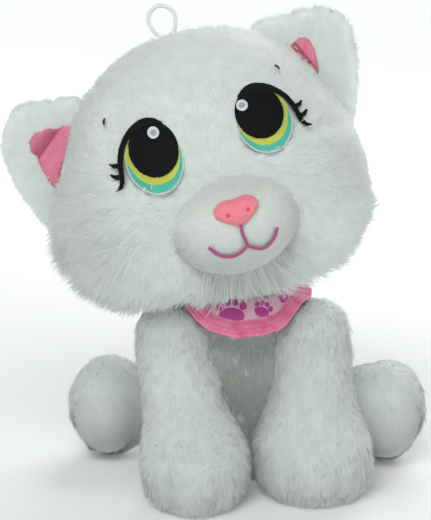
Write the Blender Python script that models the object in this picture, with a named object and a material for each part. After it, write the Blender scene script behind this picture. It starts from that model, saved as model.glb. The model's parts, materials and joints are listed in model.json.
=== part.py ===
"""A seated plush kitten with a sound box, a head-tilt drive and a paw switch.

The kitten faces -Y and its left side is at +X. Shapes are drawn in millimetres, and each
mesh is scaled to metres as it is stored. The origin is on the flat underside of the torso.
"""

import math

import bmesh
import bpy
from mathutils import Matrix, Vector

MM = 0.001
GAP = 0.3  # between pieces that touch
SKIN = 2.0  # plush backing with the base of its pile
SOCKET_GAP = 2.2  # between a swinging leg and the body

# Head
NECK = (0.0, 0.0, 126.0)  # the axle that the head tilts on
HEAD_RISE = 70.0  # head centre above the neck axle
HEAD_TILT = 16.5  # degrees, towards the kitten's right, at rest
HEAD_PITCH = 13.0  # degrees, chin up
HEAD_YAW = 7.0  # degrees, towards the kitten's left
HEAD_HALF_WIDTH, HEAD_HALF_DEPTH, HEAD_TOP, HEAD_BOTTOM = 93.0, 66.0, 87.5, 65.6
HEAD_ROUNDNESS, JOWL_ROUNDNESS = 2.35, 3.2
NECK_HOLE = 27.0
MUZZLE_CENTRE, MUZZLE_RADII = (1.6, -54.0, -35.0), (36.8, 31.0, 28.6)
NOSE_CENTRE, NOSE_RADII = (2.9, -81.0, -28.0), (12.0, 8.5, 8.8)
EYE_CENTRE, EYE_RADII = (35.5, 18.2), (18.0, 20.6)
EYE_THICKNESS = 1.6
EAR_OUTLINE = ((52, 66), (74, 71), (95, 69), (107, 58), (109, 42), (105, 20), (97, 2), (84, -12), (70, 20))
EAR_LINING = ((64, 52), (76, 57), (90, 55), (97, 46), (95, 32), (90, 16), (76, 22))
EAR_DEPTH = 13.0
EAR_SHIFT = {1: (0.0, 8.0), -1: (11.0, 0.0)}  # outward and up, of the left and the right ear

# Torso: height, centre y, half width, half depth
TORSO = ((0, 19, 47, 43), (3, 19, 50, 46), (14, 20, 54, 49), (32, 20, 56, 50), (52, 18, 53, 47),
         (72, 14, 49, 42), (90, 9, 44, 36), (103, 5, 39, 31), (112, 2, 32, 28), (118, 0, 24.5, 24))
TORSO_NECK_HOLE = 21.8

# Legs
SHOULDER = (42.0, -12.0, 90.0)
SHOULDER_RADIUS = 25.0
LEG_SWING = (0.0, 22.0, 45.0)  # degrees forward
# height, share of the paw's forward and sideways reach, half width, half depth
FRONT_LEG = ((74, 0.18, 25.5, 24.5), (58, 0.45, 26.5, 25), (47, 0.7, 29.5, 28), (35, 0.94, 34, 34),
             (20, 1.0, 35.5, 37), (8, 1.0, 33, 35), (1.6, 1.0, 27, 29))
PAW_SHIFT = {"left": (1.0, -32.0), "right": (-13.0, -47.0)}
PAW_WIDTH = {"left": 1.04, "right": 0.94}
HIP = (55.5, 26.0, 34.0)
HIP_RADIUS = 17.0
FOOT_RADII = (26.0, 31.0, 33.0)
FOOT_CENTRE = {"left": (92.0, 13.0, 33.6), "right": (86.0, 22.0, 33.6)}

# Sound box
BOX_X, BOX_Y, BOX_Z = (-31.0, 31.0), (10.0, 50.0), (2.8, 46.0)
WALL = 1.6
DECK = (16.0, 17.6)  # floor between the battery bay and the electronics
BAY_END = 22.8  # the battery bay ends here, and the switch bay starts past its wall
CELL_RADIUS, CELL_LENGTH, CELL_PITCH = 5.2, 44.5, 10.8
LID_SCREWS = ((-26.0, 40.0), (26.0, 40.0))
SPEAKER = (-9.0, 31.0)  # x and z
BRACKET_SCREW = (0.0, 30.0)

# Head drive: spur gears on axes along Y
MODULE = 1.0
SECTOR_TEETH, SMALL_TEETH, LARGE_TEETH, PINION_TEETH = 48, 10, 28, 10
MESH_CLEARANCE = 0.4
PLATE_FRONT, PLATE_REAR = (-9.0, -7.0), (6.6, 8.6)
PLATE_HALF = 11.0
SECTOR_Y, LARGE_Y = (-5.2, -1.2), (-0.6, 4.0)
AXLE_RADIUS, BORE_RADIUS = 1.5, 1.9
MOTOR_BEARING = 180.0  # degrees from up, of the motor as seen from the reduction axle
SKULL_PLATE_Z = (34.3, 37.3)

PLUSH, PLUSH_BASE = (0.78, 0.81, 0.79), (0.70, 0.72, 0.70)
COLOURS = {
    "plush": (PLUSH, 0.95, 0.0), "short_pile": (PLUSH_BASE, 0.9, 0.0), "fibre": ((0.85, 0.85, 0.83), 1.0, 0.0),
    "nose": ((0.85, 0.25, 0.3), 0.8, 0.0), "velour": ((0.8, 0.3, 0.45), 0.85, 0.0),
    "embroidery": ((0.01, 0.01, 0.012), 0.5, 0.0), "bandana": ((0.85, 0.35, 0.5), 0.8, 0.0),
    "nylon": ((0.9, 0.9, 0.9), 0.4, 0.0), "white_abs": ((0.75, 0.75, 0.72), 0.45, 0.0),
    "black_abs": ((0.03, 0.03, 0.03), 0.5, 0.0), "acetal": ((0.9, 0.88, 0.8), 0.4, 0.0),
    "steel": ((0.55, 0.55, 0.56), 0.3, 1.0), "board": ((0.03, 0.2, 0.08), 0.5, 0.0),
    "cell": ((0.1, 0.1, 0.12), 0.35, 0.0), "paper": ((0.12, 0.11, 0.1), 0.9, 0.0),
}


def clear_scene():
    for obj in list(bpy.data.objects):
        bpy.data.objects.remove(obj, do_unlink=True)


def material(name):
    made = bpy.data.materials.get(name)
    if made:
        return made
    colour, roughness, metallic = COLOURS[name]
    made = bpy.data.materials.new(name)
    made.use_nodes = True
    shader = made.node_tree.nodes["Principled BSDF"]
    shader.inputs["Base Color"].default_value = (*colour, 1.0)
    shader.inputs["Roughness"].default_value = roughness
    shader.inputs["Metallic"].default_value = metallic
    return made


def empty(name, place, parent=None, turn=(0.0, 0.0, 0.0)):
    """An axis or a frame that pieces hang on, placed in its parent's millimetres."""
    made = bpy.data.objects.new(name, None)
    bpy.context.scene.collection.objects.link(made)
    made.location = Vector(place) * MM
    made.rotation_euler = [math.radians(a) for a in turn]
    made.parent = parent
    made.empty_display_size = 0.01
    return made


def solid(name, bm, kind, parent=None, origin=(0.0, 0.0, 0.0), smooth=True):
    """A named object from a shape in millimetres. Its own origin is moved to the given point."""
    bmesh.ops.translate(bm, verts=bm.verts, vec=-Vector(origin))
    bmesh.ops.scale(bm, vec=(MM, MM, MM), verts=bm.verts)
    bmesh.ops.recalc_face_normals(bm, faces=bm.faces)
    mesh = bpy.data.meshes.new(name)
    bm.to_mesh(mesh)
    bm.free()
    mesh.materials.append(material(kind))
    if smooth:
        mesh.shade_smooth()
        mesh.set_sharp_from_angle(angle=math.radians(40))
    obj = bpy.data.objects.new(name, mesh)
    bpy.context.scene.collection.objects.link(obj)
    obj.parent = parent
    if parent is None:
        obj.location = Vector(origin) * MM
    return obj


def cutter(name, bm, parent=None, origin=(0.0, 0.0, 0.0)):
    made = solid(name, bm, "plush", parent, origin, smooth=False)
    made.hide_render = True
    made.display_type = "WIRE"
    return made


def cut(obj, *tools, operation="DIFFERENCE"):
    for tool in tools:
        step = obj.modifiers.new("cut_" + tool.name, "BOOLEAN")
        step.object = tool
        step.operation = operation
    return obj


# Shapes, all in millimetres


def box(x, y, z, bevel=0.0):
    """A block between two limits on each axis."""
    bm = bmesh.new()
    bmesh.ops.create_cube(bm, size=1.0)
    bmesh.ops.scale(bm, vec=(x[1] - x[0], y[1] - y[0], z[1] - z[0]), verts=bm.verts)
    bmesh.ops.translate(bm, vec=(sum(x) / 2, sum(y) / 2, sum(z) / 2), verts=bm.verts)
    if bevel:
        bmesh.ops.bevel(bm, geom=bm.edges[:], offset=bevel, segments=1, affect="EDGES")
    return bm


def merge(*shapes):
    """Shapes side by side in one mesh, for a cutter made of several blocks that don't touch."""
    bm = bmesh.new()
    for shape in shapes:
        mesh = bpy.data.meshes.new("part")
        shape.to_mesh(mesh)
        shape.free()
        bm.from_mesh(mesh)
        bpy.data.meshes.remove(mesh)
    return bm


def rod(radius, start, end, sides=20, end_radius=None):
    """A cylinder, or a cone, from one point to another."""
    a, b = Vector(start), Vector(end)
    bm = bmesh.new()
    bmesh.ops.create_cone(bm, cap_ends=True, segments=sides, radius1=radius,
                          radius2=radius if end_radius is None else end_radius, depth=(b - a).length)
    turn = (b - a).to_track_quat("Z", "Y").to_matrix().to_4x4()
    bmesh.ops.transform(bm, matrix=Matrix.Translation((a + b) / 2) @ turn, verts=bm.verts)
    return bm


def screw(radius, length, head, tip):
    """A pan-head screw whose shank ends at tip and points along -Z."""
    x, y, z = tip
    top = z + length
    profile = ((0, z), (radius, z), (radius, top), (head, top), (head, top + 1.0), (head * 0.7, top + 1.6), (0, top + 1.6))
    bm = turned(profile, 12)
    bmesh.ops.translate(bm, vec=(x, y, 0), verts=bm.verts)
    return bm


def turned(profile, sides):
    """A solid of revolution about Z from (radius, height) points; a closed ring if no radius is 0."""
    bm = bmesh.new()
    points = [bm.verts.new((r, 0, h)) for r, h in profile]
    edges = [bm.edges.new(pair) for pair in zip(points, points[1:])]
    if profile[0][0] > 0:
        edges.append(bm.edges.new((points[-1], points[0])))
    bmesh.ops.spin(bm, geom=points + edges, cent=(0, 0, 0), axis=(0, 0, 1), angle=2 * math.pi,
                   steps=sides, use_merge=True, use_duplicate=False)
    bmesh.ops.remove_doubles(bm, verts=bm.verts, dist=0.001)
    return bm


def along_y(bm, x, y, z):
    """Lays a shape that was turned about Z along +Y, at the given place."""
    place = Matrix.Translation((x, y, z)) @ Matrix.Rotation(math.radians(-90), 4, "X")
    bmesh.ops.transform(bm, matrix=place, verts=bm.verts)
    return bm


def prism(outline, y):
    """An outline in X and Z, extruded between two depths."""
    bm = bmesh.new()
    face = bm.faces.new([bm.verts.new((px, y[0], pz)) for px, pz in outline])
    sides = bmesh.ops.extrude_face_region(bm, geom=[face])["geom"]
    moved = [item for item in sides if isinstance(item, bmesh.types.BMVert)]
    bmesh.ops.translate(bm, vec=(0, y[1] - y[0], 0), verts=moved)
    return bm


def oval_point(angle, roundness):
    c, s = math.cos(angle), math.sin(angle)
    return (math.copysign(abs(c) ** (2 / roundness), c), math.copysign(abs(s) ** (2 / roundness), s))


def stack(levels, sides, grow=0.0, roundness=2.0):
    """A closed solid through level ovals: (height, centre x, centre y, half width, half depth)."""
    levels = sorted(levels)
    bm = bmesh.new()
    rings = []
    for number, (z, cx, cy, rx, ry) in enumerate(levels):
        z += grow * {0: -1, len(levels) - 1: 1}.get(number, 0)
        ring = []
        for k in range(sides):
            px, py = oval_point(2 * math.pi * k / sides, roundness)
            ring.append(bm.verts.new((cx + (rx + grow) * px, cy + (ry + grow) * py, z)))
        rings.append(ring)
    for low, high in zip(rings, rings[1:]):
        for k in range(sides):
            n = (k + 1) % sides
            bm.faces.new((low[k], low[n], high[n], high[k]))
    bm.faces.new(rings[0][::-1])
    bm.faces.new(rings[-1])
    return bm


def ball(centre, radii, sides=20, rings=12):
    bm = bmesh.new()
    bmesh.ops.create_uvsphere(bm, u_segments=sides, v_segments=rings, radius=1.0)
    bmesh.ops.scale(bm, vec=radii, verts=bm.verts)
    bmesh.ops.translate(bm, vec=centre, verts=bm.verts)
    return bm


def hull(*shapes):
    """The tightest convex solid round the given shapes."""
    bm = bmesh.new()
    for shape in shapes:
        for v in shape.verts:
            bm.verts.new(v.co)
        shape.free()
    bmesh.ops.convex_hull(bm, input=bm.verts)
    bmesh.ops.delete(bm, geom=[v for v in bm.verts if not v.link_faces], context="VERTS")
    return bm


# Head, drawn in the face's own frame: origin at the head's centre, face towards -Y


def head_fit(x, z):
    """How much of the head's section is left for depth at x and z: 1 in the middle, 0 at the rim."""
    width = HEAD_HALF_WIDTH * (1 - 0.0016 * max(z + 15, 0))
    height, roundness = (HEAD_TOP, HEAD_ROUNDNESS) if z > 0 else (HEAD_BOTTOM, JOWL_ROUNDNESS)
    return 1 - abs(x / width) ** roundness - abs(z / height) ** roundness


def head_radius(direction):
    """Distance from the head's centre to its surface, by halving."""
    low, high = 0.0, 120.0
    for _ in range(30):
        middle = (low + high) / 2
        p = direction * middle
        inside = head_fit(p.x, p.z) > abs(p.y / HEAD_HALF_DEPTH) ** HEAD_ROUNDNESS
        low, high = (middle, high) if inside else (low, middle)
    return low


def head_form(grow, sides=22, rings=12):
    bm = bmesh.new()
    bmesh.ops.create_uvsphere(bm, u_segments=sides, v_segments=rings, radius=1.0)
    for v in bm.verts:
        direction = v.co.normalized()
        v.co = direction * (head_radius(direction) + grow)
    return bm


def head_front(x, z, grow):
    return -HEAD_HALF_DEPTH * max(head_fit(x, z), 0) ** (1 / HEAD_ROUNDNESS) - grow


def eye_patch(side):
    """An oval disc that follows the curve of the face."""
    rings, spokes = 2, 18
    bm = bmesh.new()
    sheets = []
    for grow in (2.5, 2.5 + EYE_THICKNESS):
        cx, cz = side * EYE_CENTRE[0], EYE_CENTRE[1]
        sheet = [[bm.verts.new((cx, head_front(cx, cz, grow), cz))]]
        for r in range(1, rings + 1):
            ring = []
            for k in range(spokes):
                a = 2 * math.pi * k / spokes
                x = cx + EYE_RADII[0] * r / rings * math.cos(a)
                z = cz + EYE_RADII[1] * r / rings * math.sin(a)
                ring.append(bm.verts.new((x, head_front(x, z, grow), z)))
            sheet.append(ring)
        sheets.append(sheet)
        for k in range(spokes):
            n = (k + 1) % spokes
            bm.faces.new((sheet[0][0], sheet[1][k], sheet[1][n]))
            for inner, outer in zip(sheet[1:], sheet[2:]):
                bm.faces.new((inner[k], outer[k], outer[n], inner[n]))
    for k in range(spokes):
        n = (k + 1) % spokes
        bm.faces.new((sheets[0][-1][k], sheets[1][-1][k], sheets[1][-1][n], sheets[0][-1][n]))
    return bm


def ear_slab(outline, side, front, back, dish):
    """An ear's outline as a slab, its front hollowed towards the middle by dish."""
    bm = bmesh.new()
    outline = [(x + EAR_SHIFT[side][0], z + EAR_SHIFT[side][1]) for x, z in outline]
    cx = sum(p[0] for p in outline) / len(outline)
    cz = sum(p[1] for p in outline) / len(outline)
    sheets = []
    for depth, hollow in ((front, dish), (back, dish * 0.4)):
        rim = [bm.verts.new((side * x, depth, z)) for x, z in outline]
        middle = [bm.verts.new((side * (cx + (x - cx) * 0.6), depth + hollow * 0.8, cz + (z - cz) * 0.6))
                  for x, z in outline]
        sheets.append((rim, middle, bm.verts.new((side * cx, depth + hollow, cz))))
    count = len(outline)
    for rim, middle, centre in sheets:
        for k in range(count):
            n = (k + 1) % count
            bm.faces.new((rim[k], rim[n], middle[n], middle[k]))
            bm.faces.new((middle[k], middle[n], centre))
    for k in range(count):
        n = (k + 1) % count
        bm.faces.new((sheets[0][0][k], sheets[1][0][k], sheets[1][0][n], sheets[0][0][n]))
    return bm


def make_head():
    yoke_frame = empty("head_tilt_axis", NECK, turn=(0, -HEAD_TILT, 0))
    face = empty("face_frame", (0, 0, HEAD_RISE), yoke_frame, (-HEAD_PITCH, 0, HEAD_YAW))

    neck_cut = cutter("neck_cut", rod(NECK_HOLE, (0, 0, -15), (0, 0, 14), 24), yoke_frame)
    cavity = cutter("skull_cavity", rod(NECK_HOLE, (0, 0, -15), (0, 0, 41), 24), yoke_frame)
    hollow = cutter("head_hollow", head_form(-SKIN), face)
    cut(solid("head_skin", head_form(0), "plush", face), hollow, neck_cut)
    cut(solid("head_stuffing", head_form(-SKIN - 2.5, 16, 10), "fibre", face), cavity)

    around_head = cutter("around_head", head_form(2 * GAP), face)
    muzzle = cut(solid("muzzle", ball(MUZZLE_CENTRE, MUZZLE_RADII), "short_pile", face), around_head)
    around_muzzle = cutter("around_muzzle", ball(MUZZLE_CENTRE, [r + GAP for r in MUZZLE_RADII]), face)
    cut(solid("nose", ball(NOSE_CENTRE, NOSE_RADII, 16, 10), "nose", face), around_muzzle)
    for side, word in ((1, "left"), (-1, "right")):
        solid("eye_patch_" + word, eye_patch(side), "embroidery", face)
        cut(solid("ear_" + word, ear_slab(EAR_OUTLINE, side, -EAR_DEPTH / 2, EAR_DEPTH / 2, 6), "plush", face),
            around_head)
        cut(solid("ear_lining_" + word, ear_slab(EAR_LINING, side, -EAR_DEPTH / 2 - 0.4, -EAR_DEPTH / 2 - 1.6, 0),
                  "velour", face), around_head)
    make_hang_loop(face)
    make_yoke(yoke_frame)
    return muzzle


LOOP_FOOT, LOOP_HEIGHT, LOOP_RADIUS = 5.0, 18.0, 1.35


def make_hang_loop(face):
    """A teardrop of nylon tape standing on the crown."""
    curve = bpy.data.curves.new("hang_loop", "CURVE")
    curve.dimensions = "3D"
    curve.bevel_depth = LOOP_RADIUS * MM
    curve.bevel_resolution = 2
    curve.use_fill_caps = True
    spline = curve.splines.new("POLY")
    count = 18
    spline.points.add(count - 1)
    for k in range(count):
        t = k / (count - 1)
        swing = math.sin(math.pi * t)
        x = -(LOOP_FOOT + 6.5 * math.sin(math.pi * min(t, 1 - t) * 1.5)) * math.cos(math.pi * t)
        z = HEAD_TOP + 2.0 + LOOP_HEIGHT * swing
        spline.points[k].co = (x * MM, 4 * MM, z * MM, 1.0)
    curve.materials.append(material("nylon"))
    loop = bpy.data.objects.new("hang_loop", curve)
    bpy.context.scene.collection.objects.link(loop)
    loop.parent = face


# Head drive


def polar(radius, bearing):
    """A point in X and Z; the bearing is from up towards +X."""
    return radius * math.sin(bearing), radius * math.cos(bearing)


def teeth(count, first, start=0, stop=None):
    """Outline points of teeth start to stop of a gear, the first one at bearing first."""
    pitch = 2 * math.pi / count
    radius = MODULE * count / 2
    points = []
    for k in range(start, count if stop is None else stop):
        middle = first + k * pitch
        for r, share in ((radius - 1.25, -0.29), (radius + 0.85, -0.11), (radius + 0.85, 0.11), (radius - 1.25, 0.29)):
            points.append(polar(r, middle + share * pitch))
    return points


def shifted(bm, x, z):
    bmesh.ops.translate(bm, vec=(x, 0, z), verts=bm.verts)
    return bm


def gear_places():
    """Centres of the reduction axle and of the motor shaft, and each gear's first tooth, so that they mesh."""
    sector, small = MODULE * SECTOR_TEETH / 2, MODULE * SMALL_TEETH / 2
    large, pinion = MODULE * LARGE_TEETH / 2, MODULE * PINION_TEETH / 2
    reduction = (0.0, NECK[2] - sector - small - MESH_CLEARANCE)
    bearing = math.radians(MOTOR_BEARING)
    dx, dz = polar(large + pinion + MESH_CLEARANCE, bearing)
    motor = (reduction[0] + dx, reduction[1] + dz)
    pitch = math.pi * MODULE
    small_first = (sector * math.radians(HEAD_TILT) + pitch / 2) / small
    pinion_first = bearing + math.pi - pitch / 2 / pinion
    return reduction, motor, small_first, bearing, pinion_first


def make_yoke(yoke_frame):
    """The sector gear, its hub and the post that carries the skull plate, as one moulding."""
    half = math.radians(36)
    pitch = 2 * math.pi / SECTOR_TEETH
    outline = [(4, SKULL_PLATE_Z[0] - GAP), (4, 5)]
    outline += [polar(6.4, a) for a in (math.radians(90), math.pi - half)]
    outline += [polar(21, math.pi - half)]
    outline += teeth(SECTOR_TEETH, math.pi - 4 * pitch, 0, 9)
    outline += [polar(21, math.pi + half), polar(6.4, math.pi + half), polar(6.4, math.radians(270))]
    outline += [(-4, 5), (-4, SKULL_PLATE_Z[0] - GAP)]
    bore = cutter("yoke_bore", merge(rod(BORE_RADIUS, (0, -10, 0), (0, 10, 0), 16),
                                     rod(1.4, (0, -3.2, 24), (0, -3.2, 40), 12)), yoke_frame)
    cut(solid("head_yoke", prism(outline, SECTOR_Y), "acetal", yoke_frame, smooth=False), bore)
    plate = ((2.0, SKULL_PLATE_Z[0]), (22, SKULL_PLATE_Z[0]), (22, SKULL_PLATE_Z[1]), (2.0, SKULL_PLATE_Z[1]))
    shape = turned(plate, 24)
    bmesh.ops.translate(shape, vec=(0, -3.2, 0), verts=shape.verts)
    solid("skull_plate", shape, "white_abs", yoke_frame)
    solid("yoke_screw", screw(1.1, SKULL_PLATE_Z[1] + GAP - 26, 3.2, (0, -3.2, 26)), "steel", yoke_frame)


def make_drive():
    reduction, motor, small_first, large_first, pinion_first = gear_places()
    rx, rz = reduction
    bore = cutter("reduction_bore", rod(BORE_RADIUS, (rx, -10, rz), (rx, 10, rz), 16))
    large = cutter("large_gear", shifted(prism(teeth(LARGE_TEETH, large_first), LARGE_Y), rx, rz))
    small_y = (SECTOR_Y[0], LARGE_Y[0] + 0.5)
    gear = solid("reduction_gear", shifted(prism(teeth(SMALL_TEETH, small_first), small_y), rx, rz), "acetal",
                 origin=(rx, 0, rz), smooth=False)
    cut(gear, large, operation="UNION")
    cut(gear, bore)

    mx, mz = motor
    shaft = cutter("motor_shaft", rod(1.0, (mx, 3.0, mz), (mx, 14.0, mz), 12))
    pinion = solid("motor_pinion", shifted(prism(teeth(PINION_TEETH, pinion_first), LARGE_Y), mx, mz), "steel",
                   origin=(mx, 0, mz), smooth=False)
    cut(pinion, shaft, operation="UNION")
    shaft_hole = cutter("shaft_hole", rod(1.5, (mx, 6.0, mz), (mx, 15.0, mz), 12))
    cut(solid("motor_can", rod(10.0, (mx, PLATE_REAR[1] + GAP, mz), (mx, 33.0, mz), 24), "steel"), shaft_hole)

    for name, x, z in (("neck_axle", NECK[0], NECK[2]), ("reduction_axle", rx, rz)):
        profile = ((0, 0), (3.0, 0), (3.0, 1.2), (AXLE_RADIUS, 1.2), (AXLE_RADIUS, 19.2), (0, 19.2))
        solid(name, along_y(turned(profile, 16), x, PLATE_FRONT[0] - GAP - 1.2, z), "steel")
    make_bracket(rx, rz, shaft_hole)


def make_bracket(rx, rz, shaft_hole):
    """Two upright plates on a foot: they carry both axles and the motor."""
    low = BOX_Z[1] + GAP + 2.0 + GAP
    half = ((PLATE_HALF, low + 1), (PLATE_HALF, 106), (7, 111), (7, 130), (4, 133))
    outline = half + tuple((-x, z) for x, z in reversed(half))
    foot = box((-PLATE_HALF, PLATE_HALF), (PLATE_FRONT[0], 38), (low, low + 2))
    foot = solid("gearbox_bracket", foot, "white_abs", smooth=False)
    for name, y in (("front_plate", PLATE_FRONT), ("rear_plate", PLATE_REAR)):
        cut(foot, cutter(name, prism(outline, y)), operation="UNION")
    holes = merge(rod(BORE_RADIUS, (rx, -12, rz), (rx, 12, rz), 16),
                  rod(BORE_RADIUS, (NECK[0], -12, NECK[2]), (NECK[0], 12, NECK[2]), 16),
                  rod(1.5, (*BRACKET_SCREW, low - 5), (*BRACKET_SCREW, low + 5), 12))
    cut(foot, cutter("bracket_holes", holes), shaft_hole)


# Sound box


def make_sound_box():
    x, y, z = BOX_X, BOX_Y, BOX_Z
    bay = box((x[0] + WALL, BAY_END), (y[0] + WALL, y[1] - WALL), (z[0] - 1, DECK[0]))
    top = box((x[0] + WALL, x[1] - WALL), (y[0] + WALL, y[1] - WALL), (DECK[1], z[1] + 1))
    switch = box((BAY_END + 1.2, x[1] - WALL), (y[0] + WALL, y[1] - WALL), (z[0] + 1.8, DECK[1] + 1))
    slot = box((25.2, 28.8), (22, 32), (z[0] - 1, z[0] + 2))
    sound_hole = rod(11.0, (SPEAKER[0], y[0] - 1, SPEAKER[1]), (SPEAKER[0], y[0] + 3, SPEAKER[1]), 20)
    body = solid("sound_box_body", box(x, y, z, 0.8), "white_abs", smooth=False)
    for name, shape in (("bay_cut", bay), ("top_cut", top), ("switch_cut", switch), ("slot_cut", slot),
                        ("sound_hole", sound_hole)):
        cut(body, cutter(name, shape))
    for number, (sx, sy) in enumerate(LID_SCREWS):
        boss = cutter(f"boss_{number}", rod(3.4, (sx, sy, DECK[0] + 0.4), (sx, sy, z[1]), 12))
        cut(body, boss, operation="UNION")
    holes = [rod(1.3, (sx, sy, 34), (sx, sy, z[1] + 6), 10) for sx, sy in LID_SCREWS]
    holes.append(rod(1.3, (DOOR_SCREW[0], DOOR_SCREW[1], z[0] - 3), (DOOR_SCREW[0], DOOR_SCREW[1], 12), 10))
    cut(cut(body, cutter("door_boss", rod(2.3, (*DOOR_SCREW, z[0] + 0.2), (*DOOR_SCREW, DECK[0] + 0.4), 12)),
            operation="UNION"), cutter("box_screw_holes", merge(*holes)))

    lid_z = (z[1] + GAP, z[1] + GAP + 2.0)
    lid_holes = [rod(1.6, (sx, sy, 44), (sx, sy, 52), 10) for sx, sy in LID_SCREWS]
    lid_holes.append(rod(1.3, (*BRACKET_SCREW, 44), (*BRACKET_SCREW, 52), 10))
    cut(solid("sound_box_lid", box(x, y, lid_z, 0.5), "white_abs", smooth=False), cutter("lid_holes", merge(*lid_holes)))
    for number, (sx, sy) in enumerate(LID_SCREWS, 1):
        solid(f"lid_screw_{number}", screw(1.0, lid_z[1] + GAP - 36, 2.8, (sx, sy, 36)), "steel")
    solid("bracket_screw", screw(1.0, lid_z[1] + 2 * GAP + 2 - 43, 2.8, (*BRACKET_SCREW, 43)), "steel")


DOOR_SCREW = (-3.2, 46.6)
DOOR_Z = (0.7, 2.5)


def make_battery_side():
    y = (BOX_Y[0] + 0.4, BOX_Y[1] - 0.4)
    hole = rod(1.4, (*DOOR_SCREW, -1), (*DOOR_SCREW, 5), 10)
    sink = rod(2.4, (*DOOR_SCREW, -1), (*DOOR_SCREW, DOOR_Z[0] + 1.0), 12)
    door = solid("battery_door", box((BOX_X[0] + 0.4, BAY_END), y, DOOR_Z, 0.4), "white_abs",
                 origin=(-4, 30, DOOR_Z[0]), smooth=False)
    cut(door, cutter("door_hole", hole), cutter("door_sink", sink))
    profile = ((0, 0), (2.0, 0), (2.0, 0.6), (1.0, 0.6), (1.0, 8.5), (0, 8.5))
    shape = turned(profile, 12)
    bmesh.ops.translate(shape, vec=(*DOOR_SCREW, DOOR_Z[0] + 0.1), verts=shape.verts)
    solid("battery_door_screw", shape, "steel")

    middle = (BOX_X[0] + WALL + BAY_END) / 2
    rows = (BOX_Y[0] + WALL + CELL_RADIUS + 0.3, CELL_PITCH)
    ends = (middle - CELL_LENGTH / 2, middle + CELL_LENGTH / 2)
    for number in range(3):
        cy = rows[0] + number * rows[1]
        profile = ((0, 0), (CELL_RADIUS, 0), (CELL_RADIUS, CELL_LENGTH - 1.2), (1.9, CELL_LENGTH - 1.2),
                   (1.9, CELL_LENGTH), (0, CELL_LENGTH))
        cell = turned(profile, 16)
        turn = Matrix.Rotation(math.radians(90 if number % 2 == 0 else -90), 4, "Y")
        start = ends[0] if number % 2 == 0 else ends[1]
        bmesh.ops.transform(cell, matrix=Matrix.Translation((start, cy, 9.2)) @ turn, verts=cell.verts)
        solid(f"battery_{number + 1}", cell, "cell")
    for word, start in (("left", ends[1] + 0.6), ("right", ends[0] - 1.2)):
        plate = box((start, start + 0.6), (BOX_Y[0] + WALL + 1, BOX_Y[0] + WALL + 33), (5, 14))
        solid("battery_contact_" + word, plate, "steel", smooth=False)


def make_electronics():
    solid("circuit_board", box((-21, 20), (24, 47), (20, 21.4)), "board", smooth=False)
    solid("sound_chip", box((-6, 4), (31, 41), (21.7, 23.2), 0.3), "black_abs", smooth=False)
    sx, sz = SPEAKER
    start = BOX_Y[0] + WALL + GAP
    frame = ((11.6, 0), (13.2, 0), (13.2, 1.2), (9.0, 6.0), (4.5, 6.0), (4.5, 5.0), (8.2, 5.0), (11.6, 1.4))
    solid("speaker_frame", along_y(turned(frame, 20), sx, start, sz), "steel")
    cone = ((0, 2.4), (3.2, 3.4), (11.0, 0.5), (11.0, 1.0), (3.4, 4.1), (0, 3.1))
    solid("speaker_cone", along_y(turned(cone, 20), sx, start, sz), "paper")
    solid("speaker_magnet", rod(7.5, (sx, start + 6.3, sz), (sx, start + 10.5, sz), 20), "steel")
    solid("power_switch", box((24.4, 29.0), (20, 34), (BOX_Z[0] + 4.0, BOX_Z[0] + 8.5)), "steel", smooth=False)
    knob = box((25.6, 28.4), (22.5, 26.5), (1.0, BOX_Z[0] + 3.7), 0.3)
    solid("power_switch_knob", knob, "black_abs", origin=(27, 24.5, 3), smooth=False)


# Body and legs


def torso_levels():
    return [(z, 0.0, cy, rx, ry) for z, cy, rx, ry in TORSO]


def front_leg_levels(side, word):
    sx, sy, sz = side * SHOULDER[0], SHOULDER[1], SHOULDER[2]
    shift_x, shift_y = PAW_SHIFT[word]
    levels = []
    for z, share, rx, ry in FRONT_LEG:
        levels.append((z, sx + side * shift_x * share, sy + shift_y * share, rx * (1 + (PAW_WIDTH[word] - 1) * share), ry))
    for a in (90, 64, 40, 16):
        rise, radius = math.cos(math.radians(a)), math.sin(math.radians(a))
        levels.append((sz + SHOULDER_RADIUS * rise, sx, sy, SHOULDER_RADIUS * radius, SHOULDER_RADIUS * radius))
    return levels


def hind_leg_form(side, word, grow, sides=14, rings=9):
    hip = (side * HIP[0], HIP[1], HIP[2])
    foot = FOOT_CENTRE[word]
    return hull(ball(hip, [HIP_RADIUS + grow] * 3, sides, rings),
                ball((side * foot[0], foot[1], foot[2]), [r + grow for r in FOOT_RADII], sides, rings))


TAIL_BASE = (0.0, 65.5, 22.0)
TAIL = ((0, 65.5, 22, 9.7), (5, 77, 20, 10.5), (16, 88, 17, 11), (31, 95, 15, 11), (46, 98, 14, 10.5),
        (59, 97, 14, 9), (68, 94, 14, 5))


def tail_form(grow, sides=12):
    """A ball at the root, then rings along the tail's line."""
    bm = bmesh.new()
    points = [Vector(p[:3]) for p in TAIL]
    radii = [p[3] + grow for p in TAIL]
    first = (points[1] - points[0]).normalized()
    line = []
    for a in (math.radians(18), math.radians(45)):
        line.append((points[0] - first * (radii[0] * math.cos(a)), radii[0] * math.sin(a), first))
    for k, centre in enumerate(points):
        ahead = points[min(k + 1, len(points) - 1)] - points[max(k - 1, 0)]
        line.append((centre, radii[k], ahead.normalized()))
    rings = []
    for centre, radius, ahead in line:
        across = ahead.cross(Vector((0, 0, 1))).normalized()
        upward = across.cross(ahead).normalized()
        rings.append([bm.verts.new(centre + across * (radius * math.cos(2 * math.pi * k / sides))
                                   + upward * (radius * math.sin(2 * math.pi * k / sides))) for k in range(sides)])
    for low, high in zip(rings, rings[1:]):
        for k in range(sides):
            n = (k + 1) % sides
            bm.faces.new((low[k], low[n], high[n], high[k]))
    bm.faces.new(rings[0][::-1])
    bm.faces.new(rings[-1])
    return bm


SIDES = ((1, "left"), (-1, "right"))
LEG_SIDES = 16


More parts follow.
